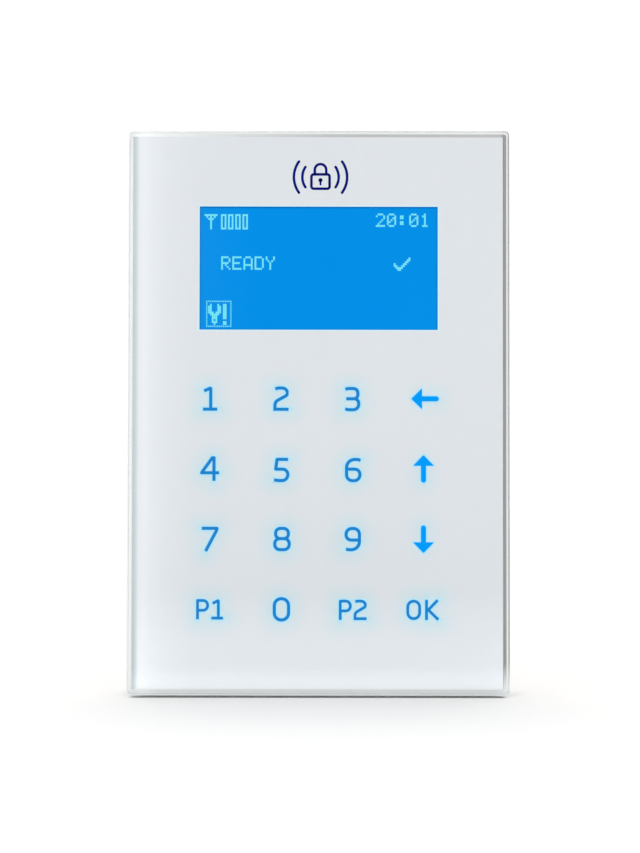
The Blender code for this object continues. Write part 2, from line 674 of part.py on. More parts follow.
def build_chips(finishes, unit):
    """Flat parts, two capacitors and the buzzer, all on the board's back."""
    for name, (x, z, width, height, length) in CHIPS.items():
        bm = block(
            (x - width / 2, x + width / 2),
            (ON_BOARD_BACK, ON_BOARD_BACK + height),
            (z - length / 2, z + length / 2),
            CHIP_EDGE,
        )
        material = finishes["steel"] if name == "crystal" else finishes["chip"]
        add(name, bm, material, (x, ON_BOARD_BACK, z), unit)
    top = ON_BOARD_BACK + TALLEST
    for number, (x, z) in enumerate(CAPACITORS, 1):
        profile = [
            (CAPACITOR_RADIUS, ON_BOARD_BACK),
            (CAPACITOR_RADIUS, top - CHIP_EDGE),
            (CAPACITOR_RADIUS - CHIP_EDGE, top),
        ]
        bm = turned(profile, (x, z))
        add(f"capacitor_{number}", bm, finishes["steel"], (x, ON_BOARD_BACK, z), unit)
    profile = [
        (BUZZER_RADIUS, ON_BOARD_BACK),
        (BUZZER_RADIUS, top - CHIP_EDGE),
        (BUZZER_RADIUS - CHIP_EDGE, top),
        (BUZZER_HOLE_RADIUS, top),
        (BUZZER_HOLE_RADIUS, top - BUZZER_HOLE_DEPTH),
    ]
    bm = turned(profile, BUZZER)
    add("buzzer", bm, finishes["chip"], (BUZZER[0], ON_BOARD_BACK, BUZZER[1]), unit)


# ---------------------------------------------------------------- unit: moving parts

def build_tamper(finishes, unit):
    """Push switch that the bracket's pad holds in: body, sprung plunger and its coil."""
    x, z = TAMPER
    body_back = ON_BOARD_BACK + TAMPER_BODY_T
    half = TAMPER_BODY / 2
    shell = block((x - half, x + half), (ON_BOARD_BACK, body_back), (z - half, z + half), CHIP_EDGE)
    body = add("tamper_switch_body", shell, finishes["chip"], (x, ON_BOARD_BACK, z), unit)
    floor = ON_BOARD_BACK + TAMPER_BORE_FLOOR
    combine(body, extruded(circle(TAMPER, TAMPER_BORE_RADIUS), floor, 0), "DIFFERENCE")

    cap_front = TAMPER_TIP - TAMPER_CAP_T
    profile = [
        (TAMPER_STEM_RADIUS, floor + GAP),
        (TAMPER_STEM_RADIUS, cap_front),
        (TAMPER_CAP_RADIUS, cap_front),
        (TAMPER_CAP_RADIUS, TAMPER_TIP - CHIP_EDGE),
        (TAMPER_CAP_RADIUS - CHIP_EDGE, TAMPER_TIP),
    ]
    place = (x, body_back, z)
    slide = pivot("tamper_slide", place, unit)
    add("tamper_plunger", turned(profile, TAMPER), finishes["slider"], place, slide)

    coil = bpy.data.curves.new("tamper_spring", "CURVE")
    coil.dimensions = "3D"
    coil.bevel_depth = SPRING_WIRE / 2
    coil.bevel_resolution = 1
    coil.use_fill_caps = True
    start = body_back + GAP + SPRING_WIRE / 2
    rise = cap_front - GAP - SPRING_WIRE / 2 - start
    count = round(SPRING_TURNS * SPRING_STEPS)
    line = coil.splines.new("POLY")
    line.points.add(count)
    for step in range(count + 1):
        angle = 2 * math.pi * step / SPRING_STEPS
        line.points[step].co = (
            SPRING_RADIUS * math.cos(angle),
            start - body_back + rise * step / count,
            SPRING_RADIUS * math.sin(angle),
            1,
        )
    coil.materials.append(finishes["steel"])
    spring = bpy.data.objects.new("tamper_spring", coil)
    bpy.context.scene.collection.objects.link(spring)
    spring.parent = unit
    spring.location = Vector(place) - unit.matrix_world.translation


def build_switches(finishes, unit):
    """Address switches: a body with a slot for each slider."""
    middle_x, middle_z = SWITCH_MIDDLE
    half_x = (SWITCHES - 1) * SWITCH_PITCH / 2 + SWITCH_BODY_END
    half_z = SWITCH_BODY_H / 2
    back = ON_BOARD_BACK + SWITCH_BODY_T
    floor = back - SWITCH_SLOT_DEPTH
    half_slot = (SLIDER_H + SWITCH_TRAVEL) / 2 + GAP
    places = [middle_x + (i - (SWITCHES - 1) / 2) * SWITCH_PITCH for i in range(SWITCHES)]
    shell = block(
        (middle_x - half_x, middle_x + half_x),
        (ON_BOARD_BACK, back),
        (middle_z - half_z, middle_z + half_z),
        CHIP_EDGE,
    )
    body = add("address_switch_body", shell, finishes["switch"], (middle_x, ON_BOARD_BACK, middle_z), unit)
    for number, x in enumerate(places, 1):
        half_w = SWITCH_SLOT_W / 2
        slot = block((x - half_w, x + half_w), (floor, 0), (middle_z - half_slot, middle_z + half_slot))
        combine(body, slot, "DIFFERENCE")
        is_on = number - 1 in SWITCHES_ON
        z = middle_z + SWITCH_TRAVEL / 2 * (1 if is_on else -1)
        place = (x, floor, z)
        slide = pivot(f"address_slide_{number}", place, unit)
        bm = block(
            (x - SLIDER_W / 2, x + SLIDER_W / 2),
            (floor + GAP, back + SLIDER_PROUD),
            (z - SLIDER_H / 2, z + SLIDER_H / 2),
        )
        add(f"address_slider_{number}", bm, finishes["slider"], place, slide)


def build_terminals(finishes, unit):
    """Rising-clamp terminal block. Turning a screw draws its clamp up against the wire."""
    z0, z1 = BLOCK_Z
    places = [(i - (POLES - 1) / 2) * POLE_PITCH for i in range(POLES)]
    half_x = POLES * POLE_PITCH / 2 + BLOCK_END
    middle_z = z0 + WIRE_HOLE_DEPTH / 2
    floor = ON_BOARD_BACK + WIRE_HOLE_FLOOR
    clamp_front = floor + GAP
    clamp_back = clamp_front + CLAMP_H
    roof = clamp_back + CLAMP_TRAVEL + GAP
    shank_end = clamp_front + CLAMP_WALL + CLAMP_TRAVEL + GAP
    shell = block((-half_x, half_x), (ON_BOARD_BACK, BLOCK_BACK), (z0, z1), CHIP_EDGE)
    body = add("terminal_block", shell, finishes["terminal"], (0, ON_BOARD_BACK, middle_z), unit)
    for number, x in enumerate(places, 1):
        half_w = WIRE_HOLE_W / 2
        chamber = block((x - half_w, x + half_w), (floor, roof), (z0 - GAP, z0 + WIRE_HOLE_DEPTH))
        combine(body, chamber, "DIFFERENCE")
        well = extruded(circle((x, middle_z), SCREW_WELL_RADIUS), roof - GAP, BLOCK_BACK + GAP)
        combine(body, well, "DIFFERENCE")

        head_back = BLOCK_BACK - TERMINAL_SINK
        head_front = head_back - TERMINAL_HEAD_T
        place = (x, head_front, middle_z)
        turn = pivot(f"terminal_turn_{number}", place, unit)
        profile = [
            (TERMINAL_SHANK_RADIUS, shank_end),
            (TERMINAL_SHANK_RADIUS, head_front),
            (TERMINAL_HEAD_RADIUS, head_front),
            (TERMINAL_HEAD_RADIUS, head_back),
        ]
        bm = turned(profile, (x, middle_z))
        screw = add(f"terminal_screw_{number}", bm, finishes["steel"], place, turn)
        slot = block(
            (x - 2 * TERMINAL_HEAD_RADIUS, x + 2 * TERMINAL_HEAD_RADIUS),
            (head_back - DRIVER_SLOT_DEPTH, BLOCK_BACK),
            (middle_z - DRIVER_SLOT_W / 2, middle_z + DRIVER_SLOT_W / 2),
        )
        combine(screw, slot, "DIFFERENCE")

        half_clamp = half_w - GAP
        half_depth = CLAMP_DEPTH / 2
        place = (x, clamp_front, middle_z)
        rise = pivot(f"clamp_rise_{number}", place, unit)
        loop = block(
            (x - half_clamp, x + half_clamp),
            (clamp_front, clamp_back),
            (middle_z - half_depth, middle_z + half_depth),
        )
        clamp = add(f"terminal_clamp_{number}", loop, finishes["steel"], place, rise)
        inside = half_clamp - CLAMP_WALL
        wire_way = block(
            (x - inside, x + inside),
            (clamp_front + CLAMP_WALL, clamp_back - CLAMP_WALL),
            (middle_z - CLAMP_DEPTH, middle_z + CLAMP_DEPTH),
        )
        combine(clamp, wire_way, "DIFFERENCE")
        hole = circle((x, middle_z), CLAMP_BORE_RADIUS)
        bore = extruded(hole, clamp_back - 2 * CLAMP_WALL, clamp_back + GAP)
        combine(clamp, bore, "DIFFERENCE")


def main():
    for leftover in list(bpy.data.objects):
        bpy.data.objects.remove(leftover)
    finishes = {
        "acrylic": finish("clear_acrylic", (0.93, 0.96, 0.96), 0.05, alpha=0.35),
        "white": finish("white_plastic", (0.83, 0.84, 0.84), 0.45),
        "foil": finish("printed_foil", (0.78, 0.81, 0.83), 0.5),
        "display": finish("display_blue", (0.0, 0.28, 0.83), 0.2),
        "diffuser": finish("diffuser", (0.85, 0.92, 0.95), 0.5),
        "film": finish("amber_film", (0.55, 0.30, 0.06), 0.4),
        "connector": finish("ivory_plastic", (0.80, 0.75, 0.62), 0.5),
        "board": finish("green_board", (0.02, 0.16, 0.07), 0.4),
        "chip": finish("black_plastic", (0.02, 0.02, 0.022), 0.5),
        "steel": finish("plated_steel", (0.62, 0.62, 0.62), 0.3, 1.0),
        "led": finish("led_white", (0.80, 0.82, 0.75), 0.3),
        "terminal": finish("green_plastic", (0.03, 0.30, 0.12), 0.45),
        "switch": finish("blue_plastic", (0.02, 0.08, 0.40), 0.45),
        "slider": finish("slider_plastic", (0.85, 0.85, 0.82), 0.45),
    }
    build_bracket(finishes["white"])
    build_tongue(finishes["white"], pivot("tongue_hinge", TONGUE_PIVOT))
    unit = pivot("unit_hinge", (0, PIVOT_Y, PIVOT_Z))
    build_panel(finishes["acrylic"], unit)
    build_foil(finishes["foil"], unit)
    build_housing(finishes["white"], unit)
    build_shroud(finishes["white"], unit)
    build_display(finishes, unit)
    build_ribbons(finishes, unit)
    build_board(finishes, unit)
    build_leds(finishes["led"], unit)
    build_chips(finishes, unit)
    build_tamper(finishes, unit)
    build_switches(finishes, unit)
    build_terminals(finishes, unit)


main()
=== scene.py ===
import math

import bmesh
import bpy
import numpy as np
from mathutils import Matrix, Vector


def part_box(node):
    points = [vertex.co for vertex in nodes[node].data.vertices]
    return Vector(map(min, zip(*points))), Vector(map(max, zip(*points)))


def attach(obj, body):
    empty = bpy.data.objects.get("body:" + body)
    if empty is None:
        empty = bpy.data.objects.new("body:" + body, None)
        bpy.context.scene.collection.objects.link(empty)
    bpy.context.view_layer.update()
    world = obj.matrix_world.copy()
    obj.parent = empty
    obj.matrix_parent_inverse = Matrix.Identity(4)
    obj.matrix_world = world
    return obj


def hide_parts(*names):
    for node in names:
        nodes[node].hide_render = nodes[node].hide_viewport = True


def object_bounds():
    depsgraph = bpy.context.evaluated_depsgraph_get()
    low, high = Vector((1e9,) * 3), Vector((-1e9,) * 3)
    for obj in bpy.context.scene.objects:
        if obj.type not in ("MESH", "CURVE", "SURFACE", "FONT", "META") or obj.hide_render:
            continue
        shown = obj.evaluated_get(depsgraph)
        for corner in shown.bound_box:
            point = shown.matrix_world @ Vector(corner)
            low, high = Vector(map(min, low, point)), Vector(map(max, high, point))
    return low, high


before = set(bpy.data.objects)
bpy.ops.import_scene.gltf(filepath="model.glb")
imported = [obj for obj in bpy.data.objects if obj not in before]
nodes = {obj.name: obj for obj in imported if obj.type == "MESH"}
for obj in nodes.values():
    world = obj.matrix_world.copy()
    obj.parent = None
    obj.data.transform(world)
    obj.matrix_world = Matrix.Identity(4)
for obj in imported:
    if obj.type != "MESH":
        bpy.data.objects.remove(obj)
cad_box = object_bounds()
MM = 0.001

# ---------------- Camera
# A studio camera with a short telephoto lens stands half a metre in front of the keypad, a little
# below its middle, and looks up by a degree and a half, which narrows the top of the panel.
LENS_MM = 85
CAMERA_AT = (-1.17 * MM, -492.2 * MM, -15.4 * MM)
PITCH, YAW, ROLL = 0.02534, -0.00324, 0.00149

camera = bpy.data.objects.new("camera", bpy.data.cameras.new("camera"))
bpy.context.scene.collection.objects.link(camera)
camera.matrix_world = (Matrix.Translation(CAMERA_AT) @ Matrix.Rotation(YAW, 4, "Z")
                       @ Matrix.Rotation(math.pi / 2 + PITCH, 4, "X") @ Matrix.Rotation(ROLL, 4, "Z"))
camera.data.lens = LENS_MM
camera.data.clip_start, camera.data.clip_end = 0.01, 20
bpy.context.scene.camera = camera
bpy.context.scene.view_settings.view_transform = "Standard"

# ---------------- Floor and light
# The keypad stands on its lower edge on a white table in an even white studio. The space round the
# camera is dark, as in a real studio, apart from one tall soft strip a little to its left.
FLOOR_HALF = 3.0
TABLE_GAP = 0.52 * MM
STUDIO_LIGHT = 1.17
STRIP_LIGHT, LAMP_LIGHT = 2.7, 2.6
BACKDROP_LIGHT = 1.3


def make_mesh(name, points, faces, smooth=False):
    """A mesh object at the origin from an array of points in metres and an array or list of faces."""
    mesh = bpy.data.meshes.new(name)
    mesh.from_pydata(np.asarray(points, float).tolist(), [], [list(map(int, f)) for f in faces])
    mesh.polygons.foreach_set("use_smooth", np.full(len(mesh.polygons), smooth))
    mesh.update()
    made = bpy.data.objects.new(name, mesh)
    bpy.context.scene.collection.objects.link(made)
    return made



class Nodes:
    """The nodes of one material, or of the studio. Each method adds a node and returns its output, and
    takes plain values or other nodes' outputs. place is the coordinate that the patterns follow."""

    def __init__(self, tree, coordinate="Object"):
        self.tree = tree
        self.skin = tree.nodes.get("Principled BSDF")
        self.place = self.add("TexCoord", {}, coordinate)

    def fill(self, node, sockets):
        """Sets each socket to its value, or joins it to the output given."""
        for key, value in sockets.items():
            if isinstance(value, bpy.types.NodeSocket):
                self.tree.links.new(value, node.inputs[key])
            else:
                node.inputs[key].default_value = value

    def add(self, kind, sockets, out=0, **settings):
        node = self.tree.nodes.new("ShaderNode" + kind)
        for key, value in settings.items():
            setattr(node, key, value)
        self.fill(node, sockets)
        return node.outputs[out]

    def put(self, sockets):
        self.fill(self.skin, sockets)

    def show(self, shader):
        self.fill(self.tree.nodes["Material Output"], {"Surface": shader})

    def parts(self):
        """The x, y and z of place."""
        return list(self.add("SeparateXYZ", {0: self.place}).node.outputs)

    def math(self, operation, *values):
        return self.add("Math", dict(enumerate(values)), operation=operation)

    def ranged(self, value, span=(0.0, 1.0), to=(0.0, 1.0), smooth=False):
        """The value carried from span to the range to, straight or in an S curve, and held at its ends."""
        sockets = {"Value": value, "From Min": span[0], "From Max": span[1], "To Min": to[0], "To Max": to[1]}
        return self.add("MapRange", sockets, interpolation_type="SMOOTHSTEP" if smooth else "LINEAR")

    def noise(self, scale, detail, rough=0.5, at=None):
        vector = self.place if at is None else at
        return self.add("TexNoise", {"Vector": vector, "Scale": scale, "Detail": detail, "Roughness": rough})

    def mix(self, share, first, second, blend="MIX"):
        """Two colours mixed by share, each an output or three numbers."""
        ends = [c if isinstance(c, bpy.types.NodeSocket) else (*c, 1) for c in (first, second)]
        return self.add("Mix", {0: share, 6: ends[0], 7: ends[1]}, 2, data_type="RGBA", blend_type=blend)

    def times(self, colour, factor):
        return self.mix(1.0, colour, factor, "MULTIPLY")

    def lanes(self, axis, pitch):
        """Even waves across one axis: the cosine of the coordinate over the pitch."""
        return self.math("COSINE", self.math("MULTIPLY", self.parts()[axis], 2 * math.pi / pitch))

    def bump(self, height, strength, distance):
        self.put({"Normal": self.add("Bump", {"Height": height, "Strength": strength, "Distance": distance})})


def new_finish(name):
    """A new material and its nodes."""
    finish = bpy.data.materials.new(name)
    finish.use_nodes = True
    return finish, Nodes(finish.node_tree)


table_finish, n = new_finish("white_table")
n.put({"Base Color": n.mix(n.noise(9, 4), (0.808, 0.8, 0.791), (0.823, 0.815, 0.806)),
       "Roughness": 0.7, "Specular IOR Level": 0.2})
# The sheet mirrors the room alone, and not the table in front of it.
mirrored = n.add("LightPath", {}, "Is Glossy Ray")
n.show(n.add("MixShader", {0: mirrored, 1: n.skin.outputs[0], 2: n.add("BsdfTransparent", {})}))
SQUARE = np.array([[-1, -1], [1, -1], [1, 1], [-1, 1]])
table = make_mesh("table", np.c_[FLOOR_HALF * SQUARE, np.full(4, cad_box[0].z - TABLE_GAP)], [[0, 1, 2, 3]])
table.data.materials.append(table_finish)

world = bpy.data.worlds.new("studio")
bpy.context.scene.world = world
world.use_nodes = True
sky = Nodes(world.node_tree, "Generated")
x, y, z = sky.parts()
forward = sky.math("MULTIPLY", y, -1)
dark_room = sky.ranged(sky.math("ARCCOSINE", forward), (0.3, 0.42), (0.02, 1), smooth=True)
sideways = sky.math("ARCTAN2", x, forward)
# The strip's light across its width: (angle, share of its full strength).
STRIP = [(-0.0888, 0.0), (-0.0862, 0.9), (-0.083, 1.0), (-0.0812, 0.7), (-0.077, 0.52),
         (-0.0738, 0.33), (-0.0665, 0.16), (-0.059, 0.02), (-0.03, 0.0)]
span = (-0.1, 0.0)
strip = sky.tree.nodes.new("ShaderNodeValToRGB")
ramp = strip.color_ramp
for k, (angle, share) in enumerate(STRIP):
    where = (angle - span[0]) / (span[1] - span[0])
    stop = ramp.elements[k] if k < 2 else ramp.elements.new(where)
    stop.position = where
    stop.color = (share, share, share, 1)
sky.fill(strip, {0: sky.ranged(sideways, span)})
strip_light = sky.math("MULTIPLY", strip.outputs[0], sky.math("GREATER_THAN", forward, 0.5))
strip_light = sky.math("MULTIPLY", strip_light, STRIP_LIGHT)
room = sky.math("MULTIPLY", dark_room, STUDIO_LIGHT)
behind = sky.ranged(y, (-0.05, 0.5), (1, 0.84), smooth=True)
upper = sky.ranged(z, (0.1, 0.19), (1, 0.84), smooth=True)
upper_back = sky.add("Mix", {0: sky.math("GREATER_THAN", y, 0.7), 2: 1, 3: upper})
for dimming in (behind, upper_back, sky.ranged(x, (-0.7, 0.7), (1.06, 0.93))):
    room = sky.math("MULTIPLY", room, dimming)
room = sky.math("ADD", room, strip_light)
# One soft lamp high behind the keypad throws its short shadow forwards.
to_lamp = sky.add("VectorMath", {0: sky.place, 1: (0, 0.36, 0.933)}, "Value", operation="DOT_PRODUCT")
LAMP_EDGE, LAMP_CORE = math.cos(math.radians(24)), math.cos(math.radians(10))
lamp = sky.ranged(to_lamp, (LAMP_EDGE, LAMP_CORE), (0, LAMP_LIGHT), smooth=True)
seen = sky.add("LightPath", {}, "Is Camera Ray")
level_now = sky.add("Mix", {0: seen, 2: sky.math("ADD", room, lamp), 3: BACKDROP_LIGHT})
sky.fill(sky.tree.nodes["Background"], {"Color": (1, 1, 1, 1), "Strength": level_now})

# ---------------- Clear front panel
# The whole front is one sheet of clear cast acrylic, 3 mm thick, laser cut, with its edges bevelled
# and flame polished. The print is on its back, and a clear rim is left all round.
panel_lo, panel_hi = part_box("front_panel")
PANEL_HALF = np.array([panel_hi.x, panel_hi.z])
PANEL_RADIUS = 1.2 * MM
BEVEL, EASE = 0.35 * MM, 0.12 * MM
CORNER_STEPS = 10


def ring(half, radius, y, steps=CORNER_STEPS):
    """A rounded rectangle in the plane at y: each corner is a quarter circle about (half - radius), and
    the sides are the straight runs between them. Points go anticlockwise as seen from the front."""
    turn = np.linspace(0, np.pi / 2, steps + 1)
    arc = radius * np.c_[np.cos(turn), np.sin(turn)]
    inner = np.asarray(half, float) - radius
    quarters = []
    for k, sign in enumerate(SQUARE[[2, 3, 0, 1]]):
        quarters.append(arc @ np.linalg.matrix_power([[0, 1], [-1, 0]], k) + inner * sign)
    flat = np.concatenate(quarters)
    return np.c_[flat[:, 0], np.full(len(flat), y), flat[:, 1]]


def skin_rings(rings, capped=True):
    """Points and faces of a surface carried through rings of equal length, from front to back, with
    one flat face over the first and one over the last ring if capped."""
    count = len(rings[0])
    k = np.arange(count)
    faces = []
    for row in range(len(rings) - 1):
        a, b = row * count, (row + 1) * count
        faces += np.c_[a + k, b + k, b + (k + 1) % count, a + (k + 1) % count].tolist()
    if capped:
        faces += [k.tolist(), ((len(rings) - 1) * count + k[::-1]).tolist()]
    return np.concatenate(rings), faces


def rounded_edge(y_face, y_side, bevel, ease):
    """Insets and heights of a bevelled edge whose two corners are eased by small arcs, as a list of
    (inset, y) from the face to the side."""
    way = 1 if y_side > y_face else -1
    turn = np.linspace(0, np.pi / 4, 4)
    reach = ease * math.tan(math.pi / 8)
    first = [(bevel + reach - ease * math.sin(t), y_face + way * ease * (1 - math.cos(t))) for t in turn]
    last = [(ease * (1 - math.cos(t)), y_face + way * (bevel + reach - ease * math.sin(t)))
            for t in turn[::-1]]
    return first + last


front, back = panel_lo.y, panel_hi.y
steps = rounded_edge(front, back, BEVEL, EASE) + rounded_edge(back, front, BEVEL, EASE)[::-1]
rings = [ring(PANEL_HALF - i, max(PANEL_RADIUS - i, 0.3 * MM), y) for i, y in steps]
sheet_points, sheet_faces = skin_rings(rings)
clear_sheet = make_mesh("clear_sheet", sheet_points, sheet_faces)
rounded = np.arange(len(sheet_faces)) < len(sheet_faces) - 2
clear_sheet.data.polygons.foreach_set("use_smooth", rounded)


def clear_acrylic(name, one_way=False):
    """Cast acrylic with faint smears and ripples. Lamps and soft light pass through it, but only from
    the inside where it is one_way, so that a face close to the table throws its shade on it."""
    finish, n = new_finish(name)
    n.put({"Base Color": (0.965, 0.985, 0.98, 1), "IOR": 1.49, "Transmission Weight": 1,
           "Roughness": n.ranged(n.noise(38, 5, 0.6), (0.45, 0.75), (0, 0.01))})
    n.bump(n.noise(14, 1), 0.012, 0.0006)
    path = n.add("LightPath", {}).node.outputs
    passing = n.math("MAXIMUM", path["Is Shadow Ray"], path["Is Diffuse Ray"])
    open_way = n.add("BsdfTransparent", {"Color": (0.95, 0.97, 0.965, 1)})
    shown = n.add("MixShader", {0: passing, 1: n.skin.outputs[0], 2: open_way})
    if one_way:
        outside = n.math("SUBTRACT", 1.0, n.add("NewGeometry", {}, "Backfacing"))
        dark = n.add("BsdfDiffuse", {"Color": (0.02, 0.02, 0.02, 1)})
        shown = n.add("MixShader", {0: n.math("MULTIPLY", passing, outside), 1: shown, 2: dark})
    n.show(shown)
    return finish


clear_sheet.data.materials.append(clear_acrylic("clear_acrylic"))
clear_sheet.data.materials.append(clear_acrylic("clear_acrylic_foot", one_way=True))
# The flat lower edge alone is one way: its whole face lies at the sheet's foot.
lowest = np.array([sheet_points[f][:, 2].max() for f in sheet_faces])
clear_sheet.data.polygons.foreach_set("material_index", (lowest < 0.05 * MM - PANEL_HALF[1]).astype(int))
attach(clear_sheet, "keypad_unit")
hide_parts("front_panel")

# ---------------- Key legends
# Sixteen legends are left open in the white print, so that the blue light of the keys shines through
# them: digits, four arrows or words in a plain technical stroke letter, with rounded bends.
COLUMNS = np.array([-25.6, -8.8, 8.0, 24.8])
ROWS = np.array([3.22, -13.33, -29.9, -46.43])
DIGIT_STROKE, WORD_STROKE, ARROW_STROKE, EDGE_WIDTH = 0.76, 0.68, 1.22, 0.34
ARROWS = {"left": (-1, 0), "up": (0, 1), "down": (0, -1)}
ARROW_SHIFT = {"left": (0.38, 0)}
LEGEND_Y = back - 0.06 * MM
EDGE_Y = back - 0.045 * MM
# Each stroke is a list of (x, z, bend radius) in millimetres from the legend's centre.
DIGITS = {
    "1": ([(-1.4, 1.78, 0), (0.17, 2.5, 0.15), (0.17, -2.5, 0)], [(-1.65, -2.52, 0), (1.72, -2.52, 0)]),
    "2": ([(-1.4, 2.28, 0), (-0.7, 2.5, 0.7), (1.48, 2.5, 1.25), (1.48, 0.85, 0.95), (-1.45, -0.75, 1.3),
           (-1.48, -2.52, 0), (1.75, -2.52, 0)],),
    "3": ([(-1.65, 2.32, 0), (-1, 2.5, 0.6), (1.3, 2.5, 1.05), (1.3, 0.08, 0.95), (-1.45, 0.08, 0)],
          [(-1.1, 0.08, 0), (1.5, 0.08, 1.05), (1.5, -2.5, 1.25), (-1, -2.5, 0.6), (-1.7, -2.32, 0)]),
    "4": ([(0.98, -2.88, 0), (0.98, 2.55, 0.02), (0.6, 2.55, 0.02), (-1.95, -0.98, 0.02), (2.2, -0.98, 0)],),
    "5": ([(1.55, 2.5, 0), (-1.05, 2.5, 0.05), (-1.36, 0.2, 0.05), (1.5, 0.2, 1.25), (1.5, -2.5, 1.35),
           (-0.7, -2.5, 0.5), (-1.75, -2.34, 0)],),
    "6": ([(1.75, 2.32, 0), (1, 2.5, 0.6), (-1.55, 2.5, 1.9), (-1.55, -2.5, 1.35), (1.6, -2.5, 1.35),
           (1.6, 0.22, 1.2), (-1.5, 0.22, 0)],),
    "7": ([(-1.85, 2.5, 0), (1.75, 2.5, 0.05), (1.6, 1.95, 0.3), (-0.95, -2.88, 0)],),
    "8": ([(0, 2.5, 0), (1.5, 2.5, 1.1), (1.5, 0.1, 1.05), (-1.5, 0.1, 1.05), (-1.5, 2.5, 1.1),
           (0, 2.5, 0)],
          [(0, 0.1, 0), (1.7, 0.1, 1.15), (1.7, -2.5, 1.2), (-1.7, -2.5, 1.2), (-1.7, 0.1, 1.15),
           (0, 0.1, 0)]),
    "9": ([(1.6, -0.22, 0), (-1.6, -0.22, 1.2), (-1.6, 2.5, 1.35), (1.55, 2.5, 1.35), (1.55, -2.5, 1.9),
           (-0.9, -2.5, 0.6), (-1.6, -2.34, 0)],),
    "0": ([(0, 2.5, 0), (1.68, 2.5, 1.62), (1.68, -2.5, 1.62), (-1.68, -2.5, 1.62), (-1.68, 2.5, 1.62),
           (0, 2.5, 0)],),
}
LETTER_P = [(-2.8, -2.38, 0), (-2.8, 2.05, 0.05), (-0.42, 2.05, 1.1), (-0.42, -0.25, 1.1), (-2.8, -0.25, 0)]
WORDS = {
    "P1": (LETTER_P, [(0.75, 1.38, 0), (2.1, 2.05, 0.1), (2.1, -2.1, 0)],
           [(0.45, -2.08, 0), (3.2, -2.08, 0)]),
    "P2": (LETTER_P, [(0.75, 1.9, 0), (1.2, 2.05, 0.4), (3.15, 2.05, 1.05), (3.15, 0.75, 0.8),
                      (0.7, -0.7, 1), (0.68, -2.08, 0), (3.4, -2.08, 0)]),
    "OK": ([(-2.3, 2.05, 0), (-0.9, 2.05, 1.38), (-0.9, -2.05, 1.38), (-3.7, -2.05, 1.38),
            (-3.7, 2.05, 1.38), (-2.3, 2.05, 0)],
           [(0.72, 2.38, 0), (0.72, -2.38, 0)],
           [(3.35, 2.3, 0), (1.15, 0, 0.02), (3.5, -2.3, 0)]),
}
KEYS = [row.split() for row in ("1 2 3 left", "4 5 6 up", "7 8 9 down", "P1 0 P2 OK")]
NUDGE = {"1": (0, 0), "2": (0, 0), "3": (0, -0.1), "5": (0.1, -0.3), "6": (0.2, -0.3), "8": (0.25, 0),
         "9": (0.15, 0), "0": (0.15, 0), "P2": (0, -0.1), "OK": (0, -0.1)}


def unit(way):
    return way / np.linalg.norm(way)


def bent_line(stops, steps=7):
    """The centreline through stops, each (x, z, radius): a corner becomes the arc of that radius that
    touches both sides, at most as long as the shorter side allows."""
    stops = np.asarray(stops, float)
    line = [stops[0, :2]]
    for before, here, after in zip(stops[:-2], stops[1:-1], stops[2:]):
        into, out = here[:2] - before[:2], after[:2] - here[:2]
        a, b = np.linalg.norm(into), np.linalg.norm(out)
        into, out = into / a, out / b
        turn = math.acos(float(np.clip(into @ out, -1, 1)))
        reach = min(here[2] * math.tan(turn / 2), 0.98 * a, 0.98 * b) if turn > 1e-6 else 0
        if reach < 1e-4:
            line.append(here[:2])
            continue
        radius = reach / math.tan(turn / 2)
        cross = np.sign(into[0] * out[1] - into[1] * out[0])
        normal = cross * np.array([-into[1], into[0]])
        centre = here[:2] - into * reach + normal * radius
        spread = np.linspace(0, turn, steps)[:, None]
        line += list(centre - normal * radius * np.cos(spread) + into * radius * np.sin(spread))
    line.append(stops[-1, :2])
    return np.array(line)


def shifted(line, by, closed=False):
    """The line moved to its left by this much, along the mitre at each of its points."""
    along = np.diff(line, axis=0)
    along /= np.linalg.norm(along, axis=1, keepdims=True)
    first, last = (along[-1:], along[:1]) if closed else (along[:1], along[-1:])
    before = np.r_[first, along]
    mitre = before + np.r_[along, last]
    mitre /= np.linalg.norm(mitre, axis=1, keepdims=True)
    stretch = 1 / np.clip((mitre * before).sum(1), 0.45, 1)
    return line + np.c_[-mitre[:, 1], mitre[:, 0]] * (by * stretch)[:, None]


def ribbon(line, width, round_ends=False, closed=False):
    """Points and quads of a flat stroke between the line moved half the width to both sides. A round
    end adds a half circle."""
    line = line[np.r_[True, np.linalg.norm(np.diff(line, axis=0), axis=1) > 1e-6]]
    left, right = shifted(line, width / 2, closed), shifted(line, -width / 2, closed)
    count = len(line)
    points = np.concatenate([left, right])
    k = np.arange(count - 1)
    faces = np.c_[k, k + 1, k + 1 + count, k + count].tolist()
    if round_ends:
        turn = np.linspace(0, np.pi, 9)[1:-1, None]
        for end, way, a, b in ((0, line[0] - line[1], 0, count),
                               (-1, line[-1] - line[-2], 2 * count - 1, count - 1)):
            across = (points[a] - points[b]) / 2
            cap = line[end] + across * np.cos(turn) + unit(way) * width / 2 * np.sin(turn)
            faces.append([a, *range(len(points), len(points) + len(cap)), b])
            points = np.concatenate([points, cap])
    return points, faces


def gather(parts, width=2):
    """One array of points and one list of faces from several pairs of them."""
    points, faces = np.zeros((0, width)), []
    for p, f in parts:
        faces += [[i + len(points) for i in face] for face in f]
        points = np.concatenate([points, p])
    return points, faces


